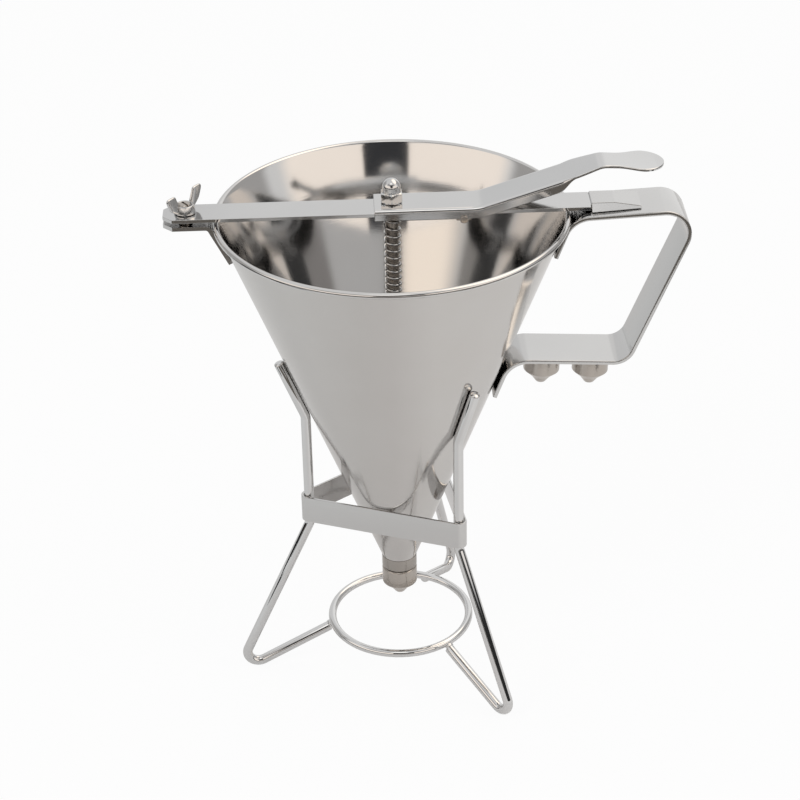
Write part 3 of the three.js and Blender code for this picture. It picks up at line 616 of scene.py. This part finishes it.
def lever_piece():
    """The grid without the faces over the rod's slot, thickened downward."""
    grid = lever_grid()
    rows, columns = grid.shape[:2]
    index = np.arange(rows * columns).reshape(rows, columns)
    quads = np.stack([index[:-1, :-1], index[:-1, 1:], index[1:, 1:], index[1:, :-1]], axis=-1)
    quads = quads.reshape(-1, 4)
    x, y, _ = grid.reshape(-1, 3)[quads].mean(axis=1).T
    in_slot = (x > SLOT_LEFT) & (x < SLOT_RIGHT) & (np.abs(y) < SLOT_SIDE)
    mesh = bpy.data.meshes.new("lever_skin")
    mesh.from_pydata((grid.reshape(-1, 3) * MM).tolist(), [], quads[~in_slot].tolist())
    piece = finish_piece("lever_skin", mesh, "lever", LEVER_STEEL, ["lever"], 40.0)
    solid = piece.modifiers.new("sheet", "SOLIDIFY")
    solid.thickness = LEVER_SHEET * MM
    solid.offset = -1


lever_piece()

# %% [markdown]
# The fulcrum is a pin under the bar, held between a grooved saddle and the bar itself. Its heads show as
# two small bright discs on the lobes of the lever. A pin is turned about its own axis, so the turned
# profile is laid over from Z to Y.

# %% Pivot pin
PIN_RADIUS, HEAD_RADIUS = 1.1, 1.8
HEAD_INNER, HEAD_OUTER = 10.6, 11.3


def laid_over(grid, x, z):
    """Turns a grid made round Z so that its axis runs along Y, at the given X and height."""
    return np.stack([grid[..., 0] + x, grid[..., 2], z - grid[..., 1]], axis=-1)


far_head = [(PIN_RADIUS, HEAD_INNER), (HEAD_RADIUS, HEAD_INNER), (HEAD_RADIUS, HEAD_OUTER), (0, HEAD_OUTER)]
near_head = [(radius, -height) for radius, height in far_head[::-1]]
pin_grid = turned(softened([*near_head, *far_head], 0.25, 4, closed=False), 48)
pin_grid = laid_over(pin_grid, PIVOT_X, PIVOT_HEIGHT)
skin("pin_skin", [(pin_grid, False, False)], "lever", TURNED_STEEL, ["pivot_pin"])

# %% [markdown]
# The plunger is a rod with a domed nut above the lever and a plug in the outlet below. A nut is a function
# of angle and height: the radius is the smaller of the flat's distance and the chamfer cone that trims the
# corners. The dome above it is half of an ellipse.

# %% Nut
NUT_FOOT, NUT_TOP = 260.4, 265.6
NUT_ACROSS, NUT_BORE, BORE_END = 10.0, 3.3, 267.2
RIM_RADIUS, TOP_RIM, TRIM_SLOPE = 4.75, 4.8, 1.7
DOME_RADIUS, DOME_FOOT, DOME_RISE = 4.45, 267.4, 4.6


def hexagon_radius(angle, across):
    """Distance from the axis to a hexagon's side: half the width over the cosine from the nearest flat."""
    part = np.mod(angle + math.pi / 6, math.pi / 3) - math.pi / 6
    return across / 2 / np.cos(part)


def acorn_grid(steps=144):
    """The blind bore, then a hexagon with both rims trimmed by a cone, then a collar and a dome."""
    angle = np.linspace(0, 2 * math.pi, steps, endpoint=False)[None]
    bore = [BORE_END, BORE_END, NUT_FOOT]
    levels = [NUT_FOOT, 260.55, 260.9, 261.4, 264.0, 264.6, 265.1, NUT_TOP]
    height = np.array([*bore, *levels])[:, None]
    low_trim = RIM_RADIUS + (height - NUT_FOOT) * TRIM_SLOPE
    high_trim = TOP_RIM + (NUT_TOP - height) * TRIM_SLOPE
    radius = np.minimum(hexagon_radius(angle, NUT_ACROSS), np.minimum(low_trim, high_trim))
    radius[0], radius[1:3] = 0.0, NUT_BORE
    rise = np.linspace(0, math.pi / 2, 18)[:, None]
    collar_and_dome = np.concatenate([[[RIM_RADIUS]], [[4.6]], DOME_RADIUS * np.cos(rise)])
    dome_height = np.concatenate([[[NUT_TOP]], [[266.4]], DOME_FOOT + DOME_RISE * np.sin(rise)])
    every = np.concatenate([radius, collar_and_dome * np.ones_like(angle)])
    level = np.concatenate([height, dome_height]) * np.ones_like(angle)
    return np.stack([every * np.cos(angle), every * np.sin(angle), level], axis=-1)


skin("acorn_skin", [(acorn_grid(), False, False)], "plunger", CAST_STEEL, ["acorn_nut"])

# %% Rod and plug
ROD = [(0, 56.8), (3.0, 56.8), (3.0, 266.9), (0, 266.9)]
rod_grid = turned(softened(ROD, 0.3, 3, closed=False), 48)
skin("rod_skin", [(rod_grid, False, False)], "plunger", TURNED_STEEL, ["rod"])
PLUG_OUTSIDE = [(0, 53.5), (2.0, 53.5), (2.0, 55.2), (4.5, 57.5), (4.5, 60), (4.0, 62)]
PLUG_BORE = [(3.3, 62), (3.3, 56.4), (0, 56.4)]
plug_grid = turned(softened([*PLUG_OUTSIDE, *PLUG_BORE], 0.2, 3, closed=False), 64)
skin("plug_skin", [(plug_grid, False, False)], "plunger", TURNED_STEEL, ["valve_tip"])

# %% [markdown]
# The spring is a helix whose pitch closes a little toward the bottom. Its height is a quadratic in the
# number of curls, and the wire's section turns with the helix, so that it never twists. Its top stays under
# the seat, and its lower end stands on a collar that rises with the plunger. The spring is built at rest
# and only gets a mesh of its own: nothing here makes it shorter as the plunger lifts, so the collar would
# cut into its lowest curls.

# %% Spring
def ring_section(radius, sides=24):
    """A circle: the radius times the cosine and sine of evenly spaced angles."""
    angle = np.linspace(0, 2 * math.pi, sides, endpoint=False)
    return np.stack([radius * np.cos(angle), radius * np.sin(angle)], axis=1)


def spring_grid(curls=18, per_curl=28, radius=3.85, wire=0.5, top=253.7, bottom=191.3, first_pitch=4.0):
    """A circle carried along a helix, in the plane of the outward direction and tangent cross outward."""
    last_pitch = 2 * (top - bottom) / curls - first_pitch
    curl = np.linspace(0, curls, curls * per_curl + 1)
    angle = 2 * math.pi * curl
    drop = first_pitch * curl + (last_pitch - first_pitch) * curl**2 / (2 * curls)
    line = np.stack([radius * np.cos(angle), radius * np.sin(angle), top - drop], axis=1)
    lead = np.array([[0.0, 2 * wire, 0.0]])
    line = np.concatenate([line[:1] - lead, line, line[-1:] + lead])
    tangent = np.gradient(line, axis=0)
    tangent /= np.linalg.norm(tangent, axis=1, keepdims=True)
    outward = line * [1, 1, 0]
    outward -= np.sum(outward * tangent, axis=1, keepdims=True) * tangent
    outward /= np.linalg.norm(outward, axis=1, keepdims=True)
    third = np.cross(tangent, outward)
    circle = ring_section(wire, 12)
    return line[:, None] + outward[:, None] * circle[None, :, :1] + third[:, None] * circle[None, :, 1:]


skin("spring_skin", [(spring_grid(), False, True)], "funnel", SPRING_STEEL, ["spring"])
# The seat holds the top at 254.2 mm. The lower end is at 190.8 mm, and rises by 5.4 mm at most.
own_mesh(PIECES["spring_skin"])

# %% Seat, collar and clip
SEAT = softened([(3.4, 254.5), (4.9, 254.5), (4.9, 255.7), (3.4, 255.7)], 0.2, 3)
COLLAR = softened([(3.3, 187.5), (4.9, 187.5), (4.9, 190.5), (3.3, 190.5)], 0.3, 3)
for name, profile, body, node in (
    ("seat_skin", SEAT, "funnel", "spring_seat"),
    ("collar_skin", COLLAR, "plunger", "spring_collar"),
):
    ring = turned(np.concatenate([profile, profile[:1]]), 64)
    skin(name, [(ring, False, False)], body, TURNED_STEEL, [node])
bevelled("clip_skin", "retaining_clip", "plunger", SPRING_STEEL, 0.15, 2)

# %% [markdown]
# The bolt has a slotted end and a low head under the bracket. The wing nut is cast: a cone-shaped hub with
# two broad ears, thick at the root and thin at the tip. Each ear is a stack of flattened ovals, whose two
# ends follow the ear's inner and outer edge, so it has no hard edge anywhere.

# %% Bolt and wing nut
bevelled("bolt_skin", "clamp_bolt", "funnel", TURNED_STEEL, 0.2)
BOLT_X, NUT_BASE, WING_ANGLE = -97.5, 258.1, 0.91
EAR_FOOT, EAR_SHOULDER, CROWN_RISE = 0.8, 10.4, 1.5
EAR_STRETCH = 0.88


def wing_grid(turn):
    """Oval sections stacked upward between an inner and an outer edge, both smooth functions of the height.

    Near the top the edges draw in and the thickness closes, each along a quarter of a circle.
    """
    crown = EAR_SHOULDER + CROWN_RISE * np.sin(np.linspace(0, math.pi / 2, 14)[1:])
    height = np.concatenate([np.linspace(EAR_FOOT, EAR_SHOULDER, 24), crown])
    draw_in = 1 - quarter_fall(height, EAR_SHOULDER, CROWN_RISE)
    inner = 3.7 + 2.4 * smooth_step(height, 3.4, 12.4) + 1.3 * draw_in
    belly = np.sin(math.pi / 2 * np.clip((height - EAR_FOOT) / 5.0, 0, 1))
    outer = 5.2 + 5.2 * belly + 1.8 * smooth_step(height, 4.0, EAR_SHOULDER) - 1.6 * draw_in
    half_thick = (1.15 - 0.035 * height) * quarter_fall(height, 11.1, 0.8, least=1e-4)
    angle = np.linspace(0, 2 * math.pi, 32, endpoint=False)
    c, s = np.cos(angle), np.sin(angle)
    along_c, across_s = np.sign(c) * np.abs(c) ** 0.7, np.sign(s) * np.abs(s) ** 0.8
    reach = ((inner + outer) / 2)[:, None] + ((outer - inner) / 2)[:, None] * along_c
    side = half_thick[:, None] * across_s
    z = NUT_BASE + EAR_STRETCH * height[:, None] + 0 * reach
    return about_z(reach, side, z, turn) + [BOLT_X, 0, 0]


hub = softened([(3.3, NUT_BASE), (5.2, NUT_BASE), (5.2, 258.9), (4.4, 262.1), (3.3, 262.1)], 0.35, 4)
hub_grid = turned(np.concatenate([hub, hub[:1]]), 72, (BOLT_X, 0.0))
wings = [(wing_grid(WING_ANGLE), False, True), (wing_grid(WING_ANGLE + math.pi), False, True)]
grids = [(hub_grid, False, False), *wings]
skin("wing_nut_skin", grids, "wing_nut", CAST_STEEL, ["wing_nut"])

# %% [markdown]
# The stand is three bent wires, a ring and a band. Each leg leans against the cone, drops straight through
# the band, spreads to the floor, and turns back up to carry the ring. The three are one line turned to
# three angles. The wire's ends are slightly domed, as cut and tumbled wire is.

# %% Legs
LEG_TURNS = {"leg_front_left": 3.28, "leg_front_right": 5.4, "leg_back": 1.185}
LEG_TOP, LEG_WIRE, FOOT_REACH = 179.5, 2.5, 42.6
BAND_BOTTOM, BAND_TOP, BAND_AIR = 87.6, 102.0, 0.72
UPRIGHT = 2 * (wall_radius(BAND_TOP) + BAND_AIR - LEG_WIRE - GAP)


def round_ends(path, radius, sides=24, steps=5):
    """A wire with slightly domed ends: near each end the radius follows a quarter of an ellipse."""
    path = np.asarray(path, float)
    angle = np.linspace(0, math.pi / 2, steps + 1)
    dome = radius * 0.35

    def tip(end, inner):
        toward = (inner - end) / np.linalg.norm(inner - end)
        return end + toward * dome * (1 - np.cos(angle))[:, None]

    line = np.concatenate([tip(path[0], path[1]), path[1:-1], tip(path[-1], path[-2])[::-1]])
    scale = np.concatenate([np.sin(angle), np.ones(len(path) - 2), np.sin(angle)[::-1]])
    return line, ring_section(radius, sides)[None] * np.maximum(scale, 1e-4)[:, None, None]


def leg_line():
    """Tip along the cone, knee, band, foot and inner end, with every corner rounded."""
    off = (GAP + LEG_WIRE) * CONE_LEAN
    tip = (wall_radius(LEG_TOP) + off, LEG_TOP)
    knee = crossing(tip, (CONE_SLOPE, 1), (UPRIGHT, 0), (0, 1))
    corners = [tip, knee, (UPRIGHT, 85.8), (UPRIGHT + FOOT_REACH, -4.25), (37.2, 19.55)]
    return rounded(corners, [8.0, 8.0, 6.0], 16)


def weld_bead(turn, rows=12, columns=20):
    """An uneven drop of metal where a leg meets the ring: an ellipsoid with a low wave over it."""
    fall = np.linspace(0, math.pi, rows)[:, None]
    angle = np.linspace(0, 2 * math.pi, columns, endpoint=False)[None]
    size = 1 + 0.1 * np.sin(3 * angle + turn) * np.sin(fall) ** 2
    x = 37.6 + 1.5 * size * np.sin(fall) * np.cos(angle)
    y = 2.3 * size * np.sin(fall) * np.sin(angle)
    return about_z(x, y, 20.9 + 1.4 * size * np.cos(fall), turn)


wire_line, wire_section = round_ends(leg_line(), LEG_WIRE, 32)
for node, leg_turn in LEG_TURNS.items():
    grid = along(wire_line, wire_section, leg_turn)
    grid[..., 2] = np.maximum(grid[..., 2], 0.0)
    grids = [(grid, False, True), (weld_bead(leg_turn), False, False)]
    skin(f"{node}_skin", grids, "stand", WIRE_STEEL, [node], crisp=50.0)

# %% Ring
RING_RADIUS, RING_HEIGHT, RING_WIRE = 35.7, 22.0, 2.0
turn = np.linspace(0, 2 * math.pi, 200, endpoint=False)[:, None]
circle = ring_section(RING_WIRE, 28)[None]
reach = RING_RADIUS + circle[..., 0]
height = RING_HEIGHT + circle[..., 1] + 0 * turn
ring_grid = np.stack([reach * np.cos(turn), reach * np.sin(turn), height], axis=-1)
skin("ring_skin", [(ring_grid, True, False)], "stand", WIRE_STEEL, ["base_ring"])


# %% Band round the legs
def band_grid(steps=24):
    """A flat section carried round the rounded triangle that touches the three legs."""
    turns = np.array(sorted(LEG_TURNS.values()))
    arc = np.linspace(-math.pi / 3, math.pi / 3, steps)
    angle = (turns[:, None] + arc[None]).reshape(-1, 1)
    centre = np.repeat(np.stack([np.cos(turns), np.sin(turns)], axis=1) * UPRIGHT, steps, axis=0)
    corners = [(2.8, BAND_BOTTOM), (4.0, BAND_BOTTOM), (4.0, BAND_TOP), (2.8, BAND_TOP)]
    section = softened(corners, 0.3, 3)
    x = centre[:, :1] + np.cos(angle) * section[None, :, 0]
    y = centre[:, 1:] + np.sin(angle) * section[None, :, 0]
    z = np.repeat(section[None, :, 1], len(angle), axis=0)
    return np.stack([x, y, z], axis=-1)


skin("band_skin", [(band_grid(), True, False)], "stand", STRAP_STEEL, ["stand_band"])

# %% [markdown]
# The studs stay as CAD nodes, because the nozzles cover them. They only need a finish.

# %% Carried nodes
CARRIED = ["stud_left", "stud_right"]
for node in CARRIED:
    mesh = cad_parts[node].data
    mesh.materials.clear()
    mesh.materials.append(TURNED_STEEL)
print("carried nodes:", CARRIED)

# %% [markdown]
# Polished steel is lit by what it mirrors, so the studio is built for the mirrors alone, and the camera
# sees only a pale floor. Dark stripes lie on the floor beside the stand and dark tables further out, and a
# brown one lies across the front, which is what the upright sides of the bar and the lever show. A filter
# over the floor paints shade into its mirror image, a little darker in front of the cone than at its right.

# %% Paint and sheets
def paint(name, colour, camera_share=0.0, glossy_share=0.0):
    """A matt colour that turns to white, by one share for the camera's rays and another for mirrored rays.

    The amount of white is the first share times is-camera, plus the second share times is-mirrored.
    """
    material, nodes, links, out = new_material(name)
    matt = add_node(nodes, "ShaderNodeBsdfDiffuse", Color=(*colour, 1))
    white = add_node(nodes, "ShaderNodeEmission")
    path = add_node(nodes, "ShaderNodeLightPath")
    seen = add_node(nodes, "ShaderNodeMath")
    seen.operation = "MULTIPLY"
    seen.inputs[1].default_value = camera_share
    links.new(path.outputs["Is Camera Ray"], seen.inputs[0])
    mirrored = add_node(nodes, "ShaderNodeMath")
    mirrored.operation = "MULTIPLY_ADD"
    mirrored.inputs[1].default_value = glossy_share
    links.new(path.outputs["Is Glossy Ray"], mirrored.inputs[0])
    links.new(seen.outputs["Value"], mirrored.inputs[2])
    mix = add_node(nodes, "ShaderNodeMixShader")
    links.new(mirrored.outputs["Value"], mix.inputs["Fac"])
    links.new(matt.outputs["BSDF"], mix.inputs[1])
    links.new(white.outputs["Emission"], mix.inputs[2])
    links.new(mix.outputs["Shader"], out.inputs["Surface"])
    return material


def sheet_of(name, place, width, depth, material):
    """A level sheet that faces up: half the width and half the depth to each side of its middle."""
    x, y, z = place
    signs = ((-1, -1), (1, -1), (1, 1), (-1, 1))
    mesh = bpy.data.meshes.new(name)
    mesh.from_pydata([(x + i * width / 2, y + j * depth / 2, z) for i, j in signs], [], [(0, 1, 2, 3)])
    mesh.materials.append(material)
    sheet = add_object(name, mesh)
    return sheet


def for_mirrors_only(thing):
    """Hides a stage object from every ray but mirrored ones."""
    thing.visible_camera = False
    thing.visible_shadow = False
    thing.visible_diffuse = False
    return thing


# %% Floor and cards
FLOOR_HEIGHT, FILTER_HEIGHT, CARD_HEIGHT = -0.0005, 0.002, 0.003
FLOOR_PAINT = paint("floor_paint", (0.86, 0.86, 0.86), camera_share=0.93, glossy_share=0.18)
sheet_of("floor", (0, 0, FLOOR_HEIGHT), 12, 12, FLOOR_PAINT)
DARK = paint("dark_card", (0.02, 0.02, 0.02))
BROWN = paint("brown_card", (0.16, 0.145, 0.128))
CARDS = {
    # X and Y of the middle, width, depth, in metres; paint
    "far_table": (0.0, -1.02, 3.0, 1.16, BROWN),
    "stripe_near": (-0.56, -0.365, 0.14, 0.1, DARK),
    "table_left": (-1.8, -0.2, 2.2, 1.4, DARK),
    "table_right": (1.8, 0.2, 2.2, 1.4, DARK),
    "stripe_left": (-0.52, -0.18, 0.5, 0.1, DARK),
    "stripe_right": (0.50, -0.30, 0.5, 0.12, DARK),
}
for name, (x, y, width, depth, card_paint) in CARDS.items():
    for_mirrors_only(sheet_of(name, (x, y, CARD_HEIGHT), width, depth, card_paint))
print("cards:", list(CARDS))

# %% Floor filter of painted shade
# Painted shade: the stops darken the floor's mirror image in front of the cone.
SHADE_FILTER_STOPS = (
    # share of the way from the left to the right, colour
    (0.0, (0.90, 0.905, 0.90)),
    (0.42, (0.87, 0.86, 0.85)),
    (0.6, (0.89, 0.87, 0.86)),
    (0.85, (1, 0.985, 0.97)),
)


def painted_mirror_shade():
    """A clear sheet whose colour changes along X, from stop to stop, to paint shade into the floor's mirror
    image.
    """
    material, nodes, links, out = new_material("painted_mirror_shade")
    glass = add_node(nodes, "ShaderNodeBsdfTransparent")
    ramp = add_node(nodes, "ShaderNodeValToRGB")
    reach = add_node(nodes, "ShaderNodeMapRange", From_Min=-0.25, From_Max=0.15)
    split = add_node(nodes, "ShaderNodeSeparateXYZ")
    place = add_node(nodes, "ShaderNodeTexCoord")
    ramp.color_ramp.elements.remove(ramp.color_ramp.elements[0])
    for index, (share, colour) in enumerate(SHADE_FILTER_STOPS):
        element = ramp.color_ramp.elements[0] if index == 0 else ramp.color_ramp.elements.new(share)
        element.position = share
        element.color = (*colour, 1)
    links.new(place.outputs["Object"], split.inputs["Vector"])
    links.new(split.outputs["X"], reach.inputs["Value"])
    links.new(reach.outputs["Result"], ramp.inputs["Fac"])
    links.new(ramp.outputs["Color"], glass.inputs["Color"])
    links.new(glass.outputs["BSDF"], out.inputs["Surface"])
    return material


for_mirrors_only(sheet_of("floor_shade_filter", (0, 0, FILTER_HEIGHT), 8, 8, painted_mirror_shade()))
print("colours in the filter:", len(SHADE_FILTER_STOPS))

# %% [markdown]
# A dome round the object carries soft boxes and dark flags, each placed by its angles, with edges that fade
# along an S curve. The boxes make the pale areas of the metal, and the flags the dark images between them.
# The low dark strip at the horizon draws a thin line along the wires.

# %% Studio dome
DOME_GREY = (0.85, 0.845, 0.84)
SOFT_BOXES = [
    # from and to in degrees round from the front, fade; from and to in degrees of height, fade; colour
    ((138, 172, 10), (-5, 50, 6), (0.97, 0.965, 0.955)),
    ((-174, -138, 6), (-5, 50, 6), (0.76, 0.76, 0.76)),
    ((92, 138, 10), (-5, 42, 6), (0.47, 0.46, 0.45)),
    ((-138, -92, 10), (-5, 42, 6), (0.47, 0.46, 0.45)),
    ((-86, 76, 14), (11, 34, 5), (1.25, 1.13, 1.02)),
    ((-104, 90, 8), (-5, 9, 3), (0.03, 0.03, 0.03)),
    ((-64, 30, 16), (38, 56, 5), (0.42, 0.40, 0.39)),
    ((18, 52, 14), (38, 54, 6), (0.45, 0.43, 0.41)),
    ((68, 165, 46), (43, 76, 5), (2.0, 1.78, 1.55)),
    ((-25, 13, 5), (54, 72, 4), (1.6, 1.57, 1.52)),
    ((-14, 18, 1.2), (17, 37, 1.2), (0.045, 0.046, 0.05)),
    ((-21, 30, 4), (36, 45, 1.5), (0.07, 0.07, 0.07)),
    ((-4, 6, 2), (17.5, 22, 1.5), (0.15, 0.14, 0.13)),
]


def between(angle, start, end, fade):
    """One inside a range of angles and zero outside, with an S curve of the given width over each end."""
    risen = smooth_step(angle, start - fade / 2, start + fade / 2)
    return risen * (1 - smooth_step(angle, end - fade / 2, end + fade / 2))


def studio_dome(radius=3.0, around=720, upward=180):
    """A half sphere round the object, coloured at each point.

    Every soft box is painted over the ones before it, by its share at the point.
    """
    turn = np.linspace(-180, 180, around, endpoint=False)[None] * np.ones((upward, 1))
    rise = np.linspace(0, 89.9, upward)[:, None] * np.ones((1, around))
    colour = np.ones((upward, around, 3)) * DOME_GREY
    for turn_range, rise_range, paint_colour in SOFT_BOXES:
        share = (between(turn, *turn_range) * between(rise, *rise_range))[..., None]
        colour = colour * (1 - share) + np.array(paint_colour) * share
    turn, rise = np.radians(turn), np.radians(rise)
    points = np.stack([np.sin(turn) * np.cos(rise), -np.cos(turn) * np.cos(rise), np.sin(rise)], axis=-1)
    index = np.arange(upward * around).reshape(upward, around)
    below, above = index[:-1], index[1:]
    quads = np.stack([below, np.roll(below, -1, axis=1), np.roll(above, -1, axis=1), above], axis=-1)
    mesh = bpy.data.meshes.new("studio_dome")
    mesh.from_pydata((points * radius).reshape(-1, 3).tolist(), [], quads.reshape(-1, 4).tolist())
    layer = mesh.color_attributes.new("glow", "FLOAT_COLOR", "POINT")
    layer.data.foreach_set("color", np.concatenate([colour, np.ones((upward, around, 1))], axis=-1).ravel())
    dome = add_object("studio_dome", mesh)
    return for_mirrors_only(dome)


def glowing(name, attribute):
    """Light of the colour that the mesh carries at each point."""
    material, nodes, links, out = new_material(name)
    light = add_node(nodes, "ShaderNodeEmission")
    colour = add_node(nodes, "ShaderNodeAttribute")
    colour.attribute_name = attribute
    links.new(colour.outputs["Color"], light.inputs["Color"])
    links.new(light.outputs["Emission"], out.inputs["Surface"])
    return material


dome = studio_dome()
dome.data.materials.append(glowing("dome_glow", "glow"))
print("studio dome:", len(dome.data.polygons), "faces,", len(SOFT_BOXES), "soft boxes and flags")

# %% [markdown]
# Two lamps throw the faint shadow. They are kept out of the mirrors, which have the dome. The room is pure
# white for the camera, and a little darker where it is mirrored or lights the floor.

# %% Lamps
MIDDLE_HEIGHT = 0.15


def lamp(name, place, size, watts, colour=(1, 1, 1)):
    """A square soft lamp that looks at the middle of the object."""
    data = bpy.data.lights.new(name, "AREA")
    data.size = size
    data.energy = watts
    data.color = colour
    light = add_object(name, data)
    light.location = place
    aim = Vector((0, 0, MIDDLE_HEIGHT)) - Vector(place)
    light.rotation_euler = aim.to_track_quat("-Z", "Y").to_euler()
    light.visible_glossy = False


lamp("key_lamp", (-1.0, -1.0, 1.4), size=0.8, watts=7)
lamp("fill_lamp", (1.4, -0.5, 0.9), size=0.7, watts=4, colour=(1, 0.97, 0.93))
print("lamps:", [light.name for light in bpy.data.lights])

# %% Room
world = bpy.data.worlds.new("studio")
bpy.context.scene.world = world
world.use_nodes = True
nodes, links = world.node_tree.nodes, world.node_tree.links
nodes.clear()
out = nodes.new("ShaderNodeOutputWorld")
path = nodes.new("ShaderNodeLightPath")


def room_tone(grey):
    """A plain background of one grey."""
    tone = nodes.new("ShaderNodeBackground")
    tone.inputs["Color"].default_value = (grey, grey, grey, 1)
    return tone.outputs[0]


def chosen_by(ray, otherwise, chosen):
    """Takes the second shader for the named kind of ray, and the first for all others."""
    mix = nodes.new("ShaderNodeMixShader")
    links.new(path.outputs[ray], mix.inputs["Fac"])
    links.new(otherwise, mix.inputs[1])
    links.new(chosen, mix.inputs[2])
    return mix.outputs["Shader"]


not_seen = chosen_by("Is Glossy Ray", otherwise=room_tone(0.72), chosen=room_tone(0.93))
links.new(chosen_by("Is Camera Ray", otherwise=not_seen, chosen=room_tone(1.0)), out.inputs["Surface"])
print("nodes in the room:", len(nodes))

# %% [markdown]
# Last, the tone is set to the plain Standard view.

# %% Finish
bpy.context.scene.view_settings.view_transform = "Standard"
